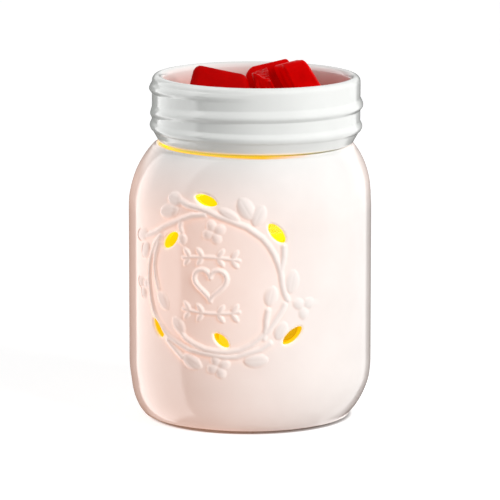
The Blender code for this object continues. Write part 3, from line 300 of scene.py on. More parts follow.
# painted glow: warm emission on the reflector stands in for the capsule's light in its mirror coating
mirror.inputs["Emission Color"].default_value = (1.0, 0.60, 0.01, 1)
mirror.inputs["Emission Strength"].default_value = 0.95
capsule = finish_nodes("capsule_lit", ("bulb_capsule",), (1.0, 0.86, 0.6), (1.0, 0.92, 0.7), 0.2, 400, 0.0001)
capsule.inputs["Emission Color"].default_value = (1.0, 0.72, 0.30, 1)
capsule.inputs["Emission Strength"].default_value = 6.0

# The jar: one slip-cast ceramic shell, white inside and out, under a clear gloss glaze.
# A wreath of vines, leaves and flowers round a heart and two sprigs stands nearly a millimetre proud, six
# leaf-shaped holes let the light out, and the bulb's glow through the wall where it is thin is painted on
# as emission.
BODY_RADIUS = 0.05415
JAR_HEIGHT = 0.1234
STAND_GAP = 0.001
SHOULDER_LOW = 0.0932
CORNER_TOP = 0.0265
MOUTH_RADIUS = 0.0408
MOUTH_OUTER = 0.0440
FOOT_RADIUS = 0.0453
WALL = 0.004
WREATH_HEIGHT = 0.068
WREATH = 0.033
SWAY_SIDE = math.radians(108.7)
MOUTH_SWAY, MOUTH_SWAY_FROM = 0.00165, 0.0995
BASE_SWAY, BASE_SWAY_FROM, BASE_SWAY_TO = 0.0016, 0.0014, 0.017
SHOULDER_POWER = 2.34
SHOULDER_REACH = 1.396
CORNER_REACH = 1.078


def shoulder(height, wide, narrow, low, high):
    """Superellipse of power 2.34: the wide radius at the low height, drawn in to the narrow at the high."""
    climb = np.clip((height - low) / (high - low), 0, None) / SHOULDER_REACH
    whole = 1 - (1 - SHOULDER_REACH ** -SHOULDER_POWER) ** (1 / SHOULDER_POWER)
    return wide - (wide - narrow) * (1 - (1 - climb ** SHOULDER_POWER) ** (1 / SHOULDER_POWER)) / whole


def corner(height, wide, narrow, low, high):
    """Ellipse: the narrow radius at the low height, widening to the wide one at the high height."""
    drop = np.clip((high - height) / (high - low), 0, None) / CORNER_REACH
    whole = 1 - math.sqrt(1 - CORNER_REACH ** -2)
    return wide - (wide - narrow) * (1 - np.sqrt(np.clip(1 - drop ** 2, 0, None))) / whole


def jar_radius(height):
    """Outer radius at a height: the shoulder's curve above, the base corner's below, straight between."""
    above = shoulder(np.clip(height, 0, JAR_HEIGHT), BODY_RADIUS, MOUTH_OUTER, SHOULDER_LOW, JAR_HEIGHT)
    below = corner(height, BODY_RADIUS, FOOT_RADIUS, STAND_GAP, CORNER_TOP)
    return np.where(height > SHOULDER_LOW, above, below)


def jar_sway(height, outside):
    """How far each ring of the shell sits to the right: evenly more from 99.5 mm to the mouth, and to the
    left round the outside of the base corner."""
    mouth = np.clip((height - MOUTH_SWAY_FROM) / (JAR_HEIGHT - MOUTH_SWAY_FROM), 0, None)
    base = np.clip(np.minimum((height - BASE_SWAY_FROM) / 0.0004, (BASE_SWAY_TO - height) / 0.0152), 0, None)
    return MOUTH_SWAY * mouth - BASE_SWAY * base * outside


# strands of the vine: places (across, up) as shares of the wreath's radius
strand_shares = (
    ((-0.46, 1.10), (-0.34, 1.05), (-0.19, 1.03), (-0.03, 0.99), (0.09, 0.94), (0.25, 0.89),
     (0.38, 0.84), (0.49, 0.80), (0.59, 0.73), (0.70, 0.65), (0.79, 0.54), (0.86, 0.42),
     (0.91, 0.30), (0.95, 0.17), (0.97, 0.01), (1.00, -0.11), (1.04, -0.19)),
    ((-1.07, 0.56), (-0.88, 0.63), (-0.71, 0.73), (-0.55, 0.80), (-0.41, 0.86), (-0.26, 0.92),
     (-0.08, 0.945)),
    ((1.00, -0.25), (0.97, -0.32), (0.87, -0.47), (0.78, -0.60), (0.68, -0.69), (0.55, -0.79),
     (0.40, -0.86), (0.24, -0.89), (0.09, -0.89), (-0.07, -0.87), (-0.24, -0.81), (-0.37, -0.74),
     (-0.43, -0.67)),
    ((-0.79, 0.60), (-0.89, 0.49), (-0.98, 0.32), (-1.03, 0.16), (-1.04, 0.00), (-1.02, -0.15),
     (-0.99, -0.30), (-0.94, -0.43), (-0.85, -0.57), (-0.74, -0.67), (-0.63, -0.76), (-0.46, -0.83),
     (-0.31, -0.89), (-0.12, -0.92), (0.05, -0.94), (0.21, -0.96), (0.36, -0.95), (0.51, -0.90),
     (0.68, -0.85), (0.80, -0.77)),
    ((-0.83, 0.50), (-0.89, 0.35), (-0.92, 0.18), (-0.89, 0.01), (-0.84, -0.12)),
    ((-0.66, -0.80), (-0.54, -0.90), (-0.42, -1.00)),
    ((0.72, -0.70), (0.75, -0.56), (0.75, -0.46), (0.775, -0.33)),
    ((0.99, 0.53), (0.99, 0.39), (0.95, 0.22)),
    ((-0.43, 0.82), (-0.445, 0.76), (-0.425, 0.70)),
)
# raised leaves: (across, up) of the stalk end and of the tip, and the width, as shares of the wreath's radius
leaf_shares = (
    (-0.56, -0.47, -0.39, -0.69, 0.15), (-0.84, -0.16, -0.66, -0.39, 0.15), (0.85, 0.00, 0.78, -0.27, 0.15),
    (-0.42, -0.98, -0.12, -1.12, 0.16), (0.45, -1.01, 0.78, -0.99, 0.16), (0.57, 0.90, 0.38, 1.18, 0.17),
    (0.59, 0.81, 0.71, 1.08, 0.16), (1.13, 0.21, 1.07, -0.11, 0.17), (-0.42, 0.68, -0.40, 0.51, 0.12),
    (-0.43, 1.08, -0.69, 1.14, 0.15), (-0.48, 0.99, -0.80, 0.91, 0.17), (-1.04, 0.59, -1.36, 0.52, 0.15),
    (-1.05, 0.47, -1.20, 0.25, 0.16), (0.11, 1.03, 0.40, 0.88, 0.11), (1.01, -0.49, 0.89, -0.72, 0.15),
)
flower_shares = ((0.05, 0.72, 4), (0.11, -1.09, 4), (1.27, -0.30, 3), (-1.18, -0.14, 3))
# light holes: (across, up) as shares, turn in degrees, length and width in metres
hole_places = (
    (-0.09, 1.135, -16, 0.0111, 0.0045), (-0.617, 0.558, 43, 0.0104, 0.0052),
    (0.897, 0.709, -49, 0.0110, 0.0051), (-0.858, -0.664, -53, 0.0098, 0.0042),
    (0.150, -0.736, -41, 0.0086, 0.0042), (1.117, -0.679, 39, 0.0113, 0.0047),
)


def path_distance(across, up, path):
    """Distance from each point to a path of straight runs: the least over the runs of the distance to the
    nearest place on the run, which is the foot of the perpendicular held between the run's ends."""
    least = np.full(across.shape, 1.0)
    for (x0, y0), (x1, y1) in zip(path, path[1:]):
        share = np.clip(((across - x0) * (x1 - x0) + (up - y0) * (y1 - y0))
                        / ((x1 - x0) ** 2 + (y1 - y0) ** 2), 0, 1)
        least = np.minimum(least, np.hypot(across - x0 - share * (x1 - x0), up - y0 - share * (y1 - y0)))
    return least


def leaf_dome(across, up, start, stop, width):
    """Height of a leaf as a share of its rise. The half width at a share s of its length is the leaf's own
    times 2.3 (s (1-s))^0.6, which ends it in two blunt points. Across it the height is a soft dome with a
    shallow crease down the middle."""
    length = math.hypot(stop[0] - start[0], stop[1] - start[1])
    ahead = ((stop[0] - start[0]) / length, (stop[1] - start[1]) / length)
    share = ((across - start[0]) * ahead[0] + (up - start[1]) * ahead[1]) / length
    aside = (up - start[1]) * ahead[0] - (across - start[0]) * ahead[1]
    inside = np.clip(share, 0, 1)
    half = width / 2 * 2.3 * (inside * (1 - inside)) ** 0.6 + 1e-9
    dome = np.clip(1 - (aside / half) ** 2, 0, None) ** 0.8 * np.clip(half / (width / 2), 0, 1) ** 0.6
    return dome * (1 - 0.12 * np.exp(-(aside / 0.0005) ** 2))


def hole_outline(length, width):
    """Outline of a light hole about its middle: half as wide as the hole times (1-t^2)^0.6 at a share t of
    its half length, so that its two ends are blunt points."""
    turn = np.linspace(0, np.pi, 17)
    half = width / 2 * np.sin(turn) ** 1.2
    along = -length / 2 * np.cos(turn)
    return np.concatenate((np.stack((along, -half), axis=-1), np.stack((along, half), axis=-1)[-2:0:-1]))


def hole_edge(across, up):
    """Distance to the nearest light hole's outline."""
    least = np.full(across.shape, 1.0)
    for x, y, turn, length, width in hole_places:
        ahead = (math.cos(math.radians(turn)), math.sin(math.radians(turn)))
        along = (across - x * WREATH) * ahead[0] + (up - y * WREATH) * ahead[1]
        aside = (up - y * WREATH) * ahead[0] - (across - x * WREATH) * ahead[1]
        outline = hole_outline(length, width)
        least = np.minimum(least, path_distance(along, aside, outline[np.r_[:len(outline), 0]].tolist()))
    return least


def vine_distance(across, up):
    """Distance to the nearest strand of the wreath."""
    least = np.full(across.shape, 1.0)
    for shares in strand_shares:
        least = np.minimum(least, path_distance(across, up, [(x * WREATH, y * WREATH) for x, y in shares]))
    return least


# the heart is the classic curve x = 16 sin^3 t, y = 13 cos t - 5 cos 2t - 2 cos 3t - cos 4t, scaled
HEART_SIZE = 0.015
heart_turn = np.linspace(0, 2 * np.pi, 49)
heart_up = (13 * np.cos(heart_turn) - 5 * np.cos(2 * heart_turn)
            - 2 * np.cos(3 * heart_turn) - np.cos(4 * heart_turn))
heart_path = HEART_SIZE * np.stack((np.sin(heart_turn) ** 3 / 2, (heart_up + 2.5) / 32), axis=-1)
VINE_RISE, VINE_HALF = 0.0008, 0.00165
LEAF_RISE, LEAF_BREADTH = 0.00085, 1.3
PETAL_RISE, PETAL_LONG, PETAL_WIDE, PETAL_OUT = 0.0008, 0.0031, 0.0026, 0.0028
HEART_RISE, HEART_HALF = 0.0009, 0.0014
STEM_RISE, STEM_HALF = 0.0007, 0.001
SPRIG_LENGTH, SPRIG_HEIGHT, SPRIG_BEND = 0.026, 0.0125, 0.0043
SPRIG_LEAF_RISE, SPRIG_LEAF_LONG, SPRIG_LEAF_WIDE = 0.0008, 0.0052, 0.0028


def relief(across, up):
    """Height of the relief: the highest of the vine's round ridges, the domed leaves, the flowers' round
    petals, the heart's ridge, and the two sprigs' stems and leaves."""
    rise = VINE_RISE * np.clip(1 - (vine_distance(across, up) / VINE_HALF) ** 2, 0, None) ** 1.3
    for x0, y0, x1, y1, width in leaf_shares:
        dome = leaf_dome(across, up, (x0 * WREATH, y0 * WREATH), (x1 * WREATH, y1 * WREATH),
                         LEAF_BREADTH * width * WREATH)
        rise = np.maximum(rise, LEAF_RISE * dome)
    for x, y, petals in flower_shares:
        for petal in range(petals):
            angle = 2 * math.pi * (petal + 0.25) / petals
            ahead = (math.cos(angle), math.sin(angle))
            along = (across - x * WREATH) * ahead[0] + (up - y * WREATH) * ahead[1] - PETAL_OUT
            aside = (up - y * WREATH) * ahead[0] - (across - x * WREATH) * ahead[1]
            dome = np.clip(1 - (along / PETAL_LONG) ** 2 - (aside / PETAL_WIDE) ** 2, 0, None) ** 0.9
            rise = np.maximum(rise, PETAL_RISE * dome)
    heart = np.clip(1 - (path_distance(across, up, heart_path.tolist()) / HEART_HALF) ** 2, 0, None) ** 1.1
    rise = np.maximum(rise, HEART_RISE * heart)
    for side in (1, -1):
        bend = [(share * SPRIG_LENGTH, side * (SPRIG_HEIGHT - share ** 2 * SPRIG_BEND))
                for share in np.linspace(-0.5, 0.5, 9)]
        stem = np.clip(1 - (path_distance(across, up, bend) / STEM_HALF) ** 2, 0, None) ** 1.1
        rise = np.maximum(rise, STEM_RISE * stem)
        for share in (-0.36, -0.12, 0.12, 0.36):
            for lean in (50, -50):
                start = (share * SPRIG_LENGTH, side * (SPRIG_HEIGHT - share ** 2 * SPRIG_BEND))
                angle = math.radians(lean if share > 0 else 180 - lean)
                stop = (start[0] + SPRIG_LEAF_LONG * math.cos(angle),
                        start[1] + SPRIG_LEAF_LONG * math.sin(angle))
                rise = np.maximum(rise, SPRIG_LEAF_RISE * leaf_dome(across, up, start, stop, SPRIG_LEAF_WIDE))
    return rise


# the mesh is fine over the wreath and coarse behind. The profile goes over the lip's outer edge, down the
# outer wall, under the foot ring, through the base opening, over the floor, up the inner wall and to the lip
azimuth = np.radians(np.concatenate((np.linspace(-50, 50, 239), np.linspace(50, 310, 66)[1:-1])))
outer_height = np.concatenate((np.linspace(JAR_HEIGHT - 0.0009, 0.1095, 14), np.linspace(0.109, 0.0275, 195),
                               0.0018 + 0.0252 * np.cos(np.linspace(0.02, np.pi / 2, 22))))
lip_turn = np.linspace(np.pi / 2, 0, 6)[:-1]
floor_turn = np.linspace(0, np.pi / 2, 10)
inner_height = np.linspace(0.030, 0.1194, 40)
FLOOR_LOW, FLOOR_TOP = 0.006, 0.010
LIP_ROUND = 0.0009
OPENING_RADIUS, FLOOR_HOLE_RADIUS = 0.0355, 0.0200
HOLE_EASE, HOLE_EASE_REACH = 0.0007, 0.0009
RELIEF_LOW, RELIEF_TOP = 0.022, 0.112
profile = np.concatenate((
    np.stack((MOUTH_OUTER - LIP_ROUND + LIP_ROUND * np.cos(lip_turn),
              JAR_HEIGHT - LIP_ROUND + LIP_ROUND * np.sin(lip_turn)), -1),
    np.stack((jar_radius(outer_height), outer_height), -1),
    ((0.0449, 0.0013), (0.0440, 0.00105), (0.0428, STAND_GAP), (0.0365, STAND_GAP),
     (OPENING_RADIUS, 0.0013), (OPENING_RADIUS, FLOOR_LOW), (0.0202, FLOOR_LOW), (FLOOR_HOLE_RADIUS, 0.0063),
     (FLOOR_HOLE_RADIUS, 0.0097), (0.0202, FLOOR_TOP)),
    np.stack((0.03965 + 0.0105 * np.sin(floor_turn), FLOOR_TOP + 0.016 * (1 - np.cos(floor_turn))), -1),
    np.stack((shoulder(inner_height, BODY_RADIUS - WALL, MOUTH_RADIUS, 0.0892, 0.1194), inner_height), -1),
    ((MOUTH_RADIUS, 0.1220), (MOUTH_RADIUS, JAR_HEIGHT - 0.0006),
     (MOUTH_RADIUS + 0.0002, JAR_HEIGHT - 0.0002), (MOUTH_RADIUS + 0.0006, JAR_HEIGHT)),
))
is_outer = np.arange(len(profile)) < len(lip_turn) + len(outer_height)


def jar_points():
    """Points of the shell: the profile turned round the axis, raised by the relief along its own normal on
    the outer wall and eased down beside the light holes, and each ring moved sideways by the sway."""
    radius = profile[:, :1] * np.ones_like(azimuth)
    height = profile[:, 1:] * np.ones_like(azimuth)
    climb = np.gradient(profile[:, 1])
    slope = np.gradient(profile[:, 0]) / np.where(np.abs(climb) < 1e-9, 1e-9, climb)
    normal = 1 / np.sqrt(1 + slope ** 2)
    across = BODY_RADIUS * np.where(azimuth > np.pi, azimuth - 2 * np.pi, azimuth) * np.ones_like(height)
    wall = is_outer[:, None] & (height > RELIEF_LOW) & (height < RELIEF_TOP)
    rise = np.zeros_like(height)
    edge = hole_edge(across[wall], height[wall] - WREATH_HEIGHT)
    rise[wall] = relief(across[wall], height[wall] - WREATH_HEIGHT)
    rise[wall] -= HOLE_EASE * np.clip(1 - edge / HOLE_EASE_REACH, 0, 1) ** 2
    radius = radius + rise * normal[:, None]
    height = height - rise * (normal * slope)[:, None]
    sway = jar_sway(profile[:, 1], is_outer | (profile[:, 1] > 0.03))[:, None]
    return np.stack((radius * np.sin(azimuth) + sway * math.sin(SWAY_SIDE),
                     -radius * np.cos(azimuth) - sway * math.cos(SWAY_SIDE), height), axis=-1)


jar_index = np.arange(len(profile) * len(azimuth)).reshape(len(profile), len(azimuth))
jar_index = np.pad(jar_index, ((0, 1), (0, 1)), mode="wrap")
shell = place("jar_shell", make_mesh("jar_shell", jar_points(), grid_faces(jar_index)))


# a light hole's cutter: rings from outside the wall to inside it, as (share of the hole's size, depth)
CUTTER_RINGS = ((1.0, 0.004), (0.99, -0.0014), (0.9, -0.007))


def hole_cutter(number, x, y, turn, length, width):
    """A prism through the wall over one light hole, set square to the wall and a little narrower inside."""
    outline = hole_outline(length, width)
    angle, level = x * WREATH / BODY_RADIUS, WREATH_HEIGHT + y * WREATH
    slope = float(jar_radius(level + 1e-5) - jar_radius(level - 1e-5)) / 2e-5
    sway = float(jar_sway(level, True))
    outward = np.array((math.sin(angle), -math.cos(angle), -slope)) / math.hypot(1, slope)
    sideways = np.array((math.cos(angle), math.sin(angle), 0))
    upward = np.cross(outward, sideways)
    turn = math.radians(turn)
    ahead = sideways * math.cos(turn) + upward * math.sin(turn)
    aside = upward * math.cos(turn) - sideways * math.sin(turn)
    middle = np.array((float(jar_radius(level)) * math.sin(angle) + sway * math.sin(SWAY_SIDE),
                       -float(jar_radius(level)) * math.cos(angle) - sway * math.cos(SWAY_SIDE), level))
    ring = middle + outline[:, :1] * ahead + outline[:, 1:] * aside
    count = len(outline)
    faces = [(start + k, start + count + k, start + count + (k + 1) % count, start + (k + 1) % count)
             for start in (0, count) for k in range(count)]
    faces += [tuple(range(count)), tuple(range(3 * count - 1, 2 * count - 1, -1))]
    mesh = bpy.data.meshes.new(f"light_hole_{number}")
    rings = [middle + (ring - middle) * share + outward * depth for share, depth in CUTTER_RINGS]
    mesh.from_pydata(np.concatenate(rings).tolist(), [], faces)
    return mesh


cutters = []
for number, hole in enumerate(hole_places):
    cutters.append(place(f"light_hole_{number}", hole_cutter(number, *hole)))
    boolean = shell.modifiers.new("light_hole", "BOOLEAN")
    boolean.operation, boolean.solver, boolean.object = "DIFFERENCE", "EXACT", cutters[-1]
bpy.context.view_layer.update()
shell_mesh = bpy.data.meshes.new_from_object(shell.evaluated_get(bpy.context.evaluated_depsgraph_get()))
shell.modifiers.clear()
shell.data = shell_mesh
for cutter in cutters:
    bpy.data.objects.remove(cutter, do_unlink=True)
shell_mesh.shade_smooth()
shell_mesh.set_sharp_from_angle(angle=math.radians(48))


def paint(mesh, name, values):
    """Store a number, or a colour, for each corner of the mesh under an attribute's name."""
    colour = values.ndim == 2
    layer = mesh.attributes.new(name, "FLOAT_COLOR" if colour else "FLOAT", "POINT")
    if colour:
        values = np.concatenate((values, np.ones((len(values), 1))), axis=1)
    layer.data.foreach_set("color" if colour else "value", values.astype(np.float32).ravel())


def bell(value, middle, spread):
    """A bell curve about the middle."""
    return np.exp(-((value - middle) / spread) ** 2)


def fade(value, start, stop):
    """0 at the start and 1 at the stop, straight between and held beyond."""
    return np.clip((value - start) / (stop - start), 0, 1)


# painted glow of the lit jar, as emission for each corner of the mesh in place of the bulb's light: through
# the wall, in the grooves beside the raised parts (most to their lower left), round the holes' edges, at the
# shoulder's edges, and on the lit inside from low to high
# painted glow tints: each colour below is emission in place of the bulb's light, not the glaze's own colour
WALL_GLOW_PEACH = np.array((1.0, 0.43, 0.24))
GROOVE_GLOW_ORANGE = np.array((1.0, 0.25, 0.05))
HALO_YELLOW = np.array((1.0, 0.70, 0.15))
EDGE_GLOW_PINK = np.array((1.0, 0.68, 0.56))
REAR_GLOW_PEACH = np.array((1.0, 0.50, 0.30))
SEAM_GLOW_YELLOW = np.array((1.0, 0.50, 0.0))
SEAM_GLOW_PEACH = np.array((1.0, 0.38, 0.10))
FOOT_GLOW_ORANGE = np.array((1.0, 0.30, 0.05))
INSIDE_LIT_LOW = np.array((0.98, 0.47, 0.003))
INSIDE_LIT_HIGH = np.array((0.985, 0.79, 0.003))
WALL_GLOW, LEFT_GLOW, MIDDLE_GLOW, LOW_LOSS, RAISED_LOSS = 0.09, 0.29, 0.05, 0.04, 0.30
EDGE_GLOW, REAR_GLOW, HALO_GLOW, FOOT_GLOW = 0.28, 0.20, 0.20, 0.06
GROOVE_GLOW, LEFT_GROOVE_GLOW = 0.06, 0.18
GLOW_LEVELS = (0.1235, 0.096)
FULL_RISE = 0.00095
GROOVE_WAY = (0.0009, 0.0007)
BESIDE_VINE, BESIDE_SPREAD = 0.0021, 0.0010
HALO_REACH = 0.0006
WREATH_REACH, WREATH_LOW, WREATH_TOP = 0.050, 0.020, 0.114
INSIDE_DEPTHS, INSIDE_LEVELS = (0.0008, 0.0012), (0.009, 0.1226)
LIT_LEVELS = (0.040, 0.100)
SEAM_RADII, SEAM_LEVELS, SEAM_BEARING = (0.0443, 0.0436), (0.1218, 0.1226), -55
spot = np.empty(len(shell_mesh.vertices) * 3, dtype=np.float32)
shell_mesh.vertices.foreach_get("co", spot)
spot = spot.reshape(-1, 3).astype(float)
level = spot[:, 2]
turn = np.arctan2(spot[:, 0], -spot[:, 1])
across, up = BODY_RADIUS * turn, level - WREATH_HEIGHT
sideways = jar_sway(level, True)
own_radius = np.hypot(spot[:, 0] - sideways * math.sin(SWAY_SIDE),
                      spot[:, 1] + sideways * math.cos(SWAY_SIDE))
inside = fade(jar_radius(level) - own_radius, *INSIDE_DEPTHS)
inside = inside * (level > INSIDE_LEVELS[0]) * (level < INSIDE_LEVELS[1])
seen = np.degrees(turn) - math.degrees(CAMERA_BEARING)
seen = np.where(seen < -180, seen + 360, seen)
near_wreath = (np.abs(across) < WREATH_REACH) & (level > WREATH_LOW) & (level < WREATH_TOP) & (inside < 1)
raised, shaded, beside, halo = (np.zeros_like(level) for layer in range(4))
near_across, near_up = across[near_wreath], up[near_wreath]
raised[near_wreath] = relief(near_across, near_up) / FULL_RISE
shaded[near_wreath] = relief(near_across + GROOVE_WAY[0], near_up + GROOVE_WAY[1]) / FULL_RISE
beside[near_wreath] = bell(vine_distance(near_across, near_up), BESIDE_VINE, BESIDE_SPREAD)
halo[near_wreath] = np.exp(-hole_edge(near_across, near_up) / HALO_REACH)
groove = np.clip(0.35 * beside + 0.9 * shaded, 0, 1) * (1 - np.clip(raised * 1.6, 0, 1))
left = 1 / (1 + np.exp((seen - 8) / 20)) * fade(seen, -130, -85)
low = bell(level, 0.022, 0.022)
middle = np.exp(-(np.hypot(across, up) / 0.033) ** 6)
warm = WALL_GLOW + LEFT_GLOW * left - LOW_LOSS * low * left + MIDDLE_GLOW * middle
warm = warm * fade(level, *GLOW_LEVELS) ** 0.8
at_edge = EDGE_GLOW * fade(np.abs(seen), 56, 78) * fade(level, 0.094, 0.108)
at_rear = REAR_GLOW * fade(np.abs(seen), 95, 140) * fade(level, *GLOW_LEVELS)
glow = (warm * (1 - RAISED_LOSS * np.clip(raised, 0, 1)))[:, None] * WALL_GLOW_PEACH
glow = glow + at_edge[:, None] * EDGE_GLOW_PINK
glow = glow + at_rear[:, None] * REAR_GLOW_PEACH
glow = glow + (groove * (GROOVE_GLOW + LEFT_GROOVE_GLOW * left))[:, None] * GROOVE_GLOW_ORANGE
glow = glow + HALO_GLOW * (halo * (1 - inside))[:, None] * HALO_YELLOW
# light at the seam under the dish: strong where the leaning dish stands open, fading round to the right
DISH_X, DISH_Y = 0.002463, 0.000834
from_dish = np.hypot(spot[:, 0] - DISH_X, spot[:, 1] - DISH_Y)
open_side = fade(np.cos(np.radians(seen - SEAM_BEARING)), -0.05, 0.45)
seam = np.clip(1.6 * fade(from_dish, *SEAM_RADII) * fade(level, *SEAM_LEVELS), 0, 1)
seam = seam * open_side * (1 - inside)
seam_tint = SEAM_GLOW_YELLOW * open_side[:, None] + SEAM_GLOW_PEACH * (1 - open_side)[:, None]
glow = glow * (1 - 0.8 * seam[:, None]) + seam[:, None] * seam_tint
# warm light on the foot's edge, from under the base
foot = bell(level, 0.0012, 0.0016) * bell(seen, -18, 26)
glow = glow + FOOT_GLOW * foot[:, None] * FOOT_GLOW_ORANGE
climb = fade(level, *LIT_LEVELS)[:, None]
lit = INSIDE_LIT_LOW * (1 - climb) + INSIDE_LIT_HIGH * climb
paint(shell_mesh, "glow", glow * (1 - inside[:, None]) + lit * inside[:, None])
# the inside and the seam take the near-black base: the inner wall shows only its painted light, and the seam
# is a painted dark gap with painted light in it
paint(shell_mesh, "inside", np.maximum(inside, seam))


def glaze_material(name, low, high, deep):
    """White gloss glaze over ceramic: two tones wandered between by soft noise, a fine ripple, a clear coat,
    the piece's own painted glow as emission, and a deeper tone where its inside is painted."""
    material, tree, shader = new_material(name)
    layer = tree.nodes.new("ShaderNodeAttribute")
    layer.attribute_name = "glow"
    tree.links.new(layer.outputs["Color"], shader.inputs["Emission Color"])
    shader.inputs["Emission Strength"].default_value = 1.0
    dark = tree.nodes.new("ShaderNodeAttribute")
    dark.attribute_name = "inside"
    noise = tree.nodes.new("ShaderNodeTexNoise")
    noise.inputs["Scale"].default_value = 42
    noise.inputs["Detail"].default_value = 3
    tree.links.new(tree.nodes.new("ShaderNodeTexCoord").outputs["Object"], noise.inputs["Vector"])
    ramp = tree.nodes.new("ShaderNodeValToRGB")
    ramp.color_ramp.elements[0].position, ramp.color_ramp.elements[1].position = 0.35, 0.65
    ramp.color_ramp.elements[0].color, ramp.color_ramp.elements[1].color = (*low, 1), (*high, 1)
    tree.links.new(noise.outputs["Fac"], ramp.inputs["Fac"])
    mix = tree.nodes.new("ShaderNodeMix")
    mix.data_type = "RGBA"
    tree.links.new(dark.outputs["Fac"], mix.inputs[0])
    tree.links.new(ramp.outputs["Color"], mix.inputs[6])
    mix.inputs[7].default_value = (*deep, 1)
    tree.links.new(mix.outputs[2], shader.inputs["Base Color"])
    shader.inputs["Roughness"].default_value = 0.12
    shader.inputs["Coat Weight"].default_value = 0.3
    shader.inputs["Coat Roughness"].default_value = 0.03
    bump = tree.nodes.new("ShaderNodeBump")
    bump.inputs["Strength"].default_value = 0.05
    bump.inputs["Distance"].default_value = 0.001
    tree.links.new(noise.outputs["Fac"], bump.inputs["Height"])
    tree.links.new(bump.outputs["Normal"], shader.inputs["Normal"])
    return material


shell_mesh.materials.clear()
# near-black base where 'inside' is painted, under the painted light of the jar's inside and seam
jar_glaze = glaze_material("jar_glaze", (0.80, 0.795, 0.78), (0.84, 0.835, 0.82), (0.02, 0.02, 0.02))
shell_mesh.materials.append(jar_glaze)
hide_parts("jar_body")
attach(shell, "body")

# The fragrance dish: a second ceramic piece shaped as the jar's threaded neck, with a bowl inside.
# It stands loosely on the mouth, a little to the right and leaning by half a degree, and lifts off.
DISH_RADIUS = 0.0464
DISH_INNER = 0.0414
DISH_FOOT = 0.0435
BOWL_FLOOR = 0.0046
BOWL_ROUND = 0.009
LIP_MIDDLE, LIP_HALF = (0.0439, 0.0270), (0.0025, 0.0026)
FOOT_DRAW = 0.0029
DISH_SEAT = 0.12408
CREST_LOW, CREST_CLIMB = 0.0105, 0.0151
THREAD_RISE, THREAD_BELOW, THREAD_ABOVE = 0.0013, 0.0022, 0.0034
BEAD_HEIGHT, BEAD_HALF, BEAD_RISE = 0.0071, 0.0026, 0.00095
dish_turns = np.radians(np.arange(0, 360, 1.25))
thread_turns, thread_climbs, thread_rises = np.array((
    (-90, 0.00, 0.05), (-71, 0.11, 0.55), (-56, 0.19, 0.80), (-41, 0.25, 1.00), (-12, 0.34, 1.00),
    (16, 0.39, 1.00), (63, 0.405, 1.00), (109, 0.41, 1.00), (150, 0.49, 1.00), (190, 0.60, 1.00),
    (230, 0.72, 1.00), (260, 0.80, 1.00), (289, 0.85, 1.00), (319, 0.93, 1.00), (345, 0.97, 0.80),
    (378, 1.00, 0.05),
)).T


def thread_rise(turn, height):
    """Outward rise of the thread at a turn in degrees and a height. Its crest climbs with the turn; below the
    crest the ridge falls away over 2.2 mm and above it over 3.4 mm, each as a power of half a cosine."""
    rise = np.zeros(np.broadcast(turn, height).shape)
    for lap in (-360, 0, 360):
        here = turn + lap
        crest = CREST_LOW + CREST_CLIMB * np.interp(here, thread_turns, thread_climbs)
        share = np.interp(here, thread_turns, thread_rises) * fade(here, -98, -84) * fade(here, 386, 372)
        off = height - crest
        reach = np.clip(np.where(off < 0, -off / THREAD_BELOW, off / THREAD_ABOVE), 0, 1)
        rise = np.maximum(rise, THREAD_RISE * share * (0.5 + 0.5 * np.cos(np.pi * reach)) ** 0.7)
    return rise


def dish_surface():
    """Points of the dish in its own frame: a profile from the bowl's middle over the lip and down the
    threaded outside to the foot and the locating ring, turned round, with the thread and the bead raised."""
    bowl_turn = np.linspace(0, np.pi / 2, 10)
    lip_turn = np.linspace(np.pi, 0, 13)
    wall_height = np.linspace(0.0268, 0.0010, 104)
    wall = np.stack((DISH_RADIUS - FOOT_DRAW * fade(wall_height, 0.0055, 0.0004), wall_height), -1)
    dish_profile = np.concatenate((
        ((0.0, BOWL_FLOOR), (0.014, BOWL_FLOOR), (0.026, BOWL_FLOOR)),
        np.stack((DISH_INNER - BOWL_ROUND * (1 - np.sin(bowl_turn)),
                  BOWL_FLOOR + BOWL_ROUND * (1 - np.cos(bowl_turn))), -1),
        ((DISH_INNER, 0.018), (DISH_INNER, 0.022), (DISH_INNER, 0.025)),
        np.stack((LIP_MIDDLE[0] + LIP_HALF[0] * np.cos(lip_turn),
                  LIP_MIDDLE[1] + LIP_HALF[1] * np.sin(lip_turn)), -1),
        wall,
        ((DISH_FOOT, 0.00035), (0.04335, 0.0001), (0.04315, 0.0), (0.0394, 0.0), (0.0394, -0.0044),
         (0.0392, -0.0046), (0.0361, -0.0046), (0.0359, -0.0044), (0.0359, 0.0), (0.020, 0.0), (0.0, 0.0)),
    ))
    on_wall = np.zeros((len(dish_profile), 1), bool)
    first = 3 + len(bowl_turn) + 3 + len(lip_turn)
    on_wall[first:first + len(wall)] = True
    height = dish_profile[:, 1:] * np.ones_like(dish_turns)
    bead = BEAD_RISE * (0.5 + 0.5 * np.cos(np.pi * np.clip((height - BEAD_HEIGHT) / BEAD_HALF, -1, 1))) ** 0.8
    rise = np.maximum(bead, thread_rise(np.degrees(dish_turns)[None, :], height)) * on_wall
    radius = dish_profile[:, :1] + rise * fade(height, 0.0290, 0.0255)
    return np.stack((radius * np.sin(dish_turns), -radius * np.cos(dish_turns), height), axis=-1)


lean, lean_turn = math.radians(0.5), math.radians(143.7)
lean_axis = np.array((math.cos(lean_turn), math.sin(lean_turn), 0))


def on_jar(points):
    """Take points from the dish's own frame to where it stands: turned by its lean about a level axis
    (Rodrigues' formula), then moved onto the mouth."""
    turned = (points * math.cos(lean) + np.cross(lean_axis, points) * math.sin(lean)
              + (points @ lean_axis)[..., None] * lean_axis * (1 - math.cos(lean)))
    return turned + np.array((DISH_X, DISH_Y, DISH_SEAT))


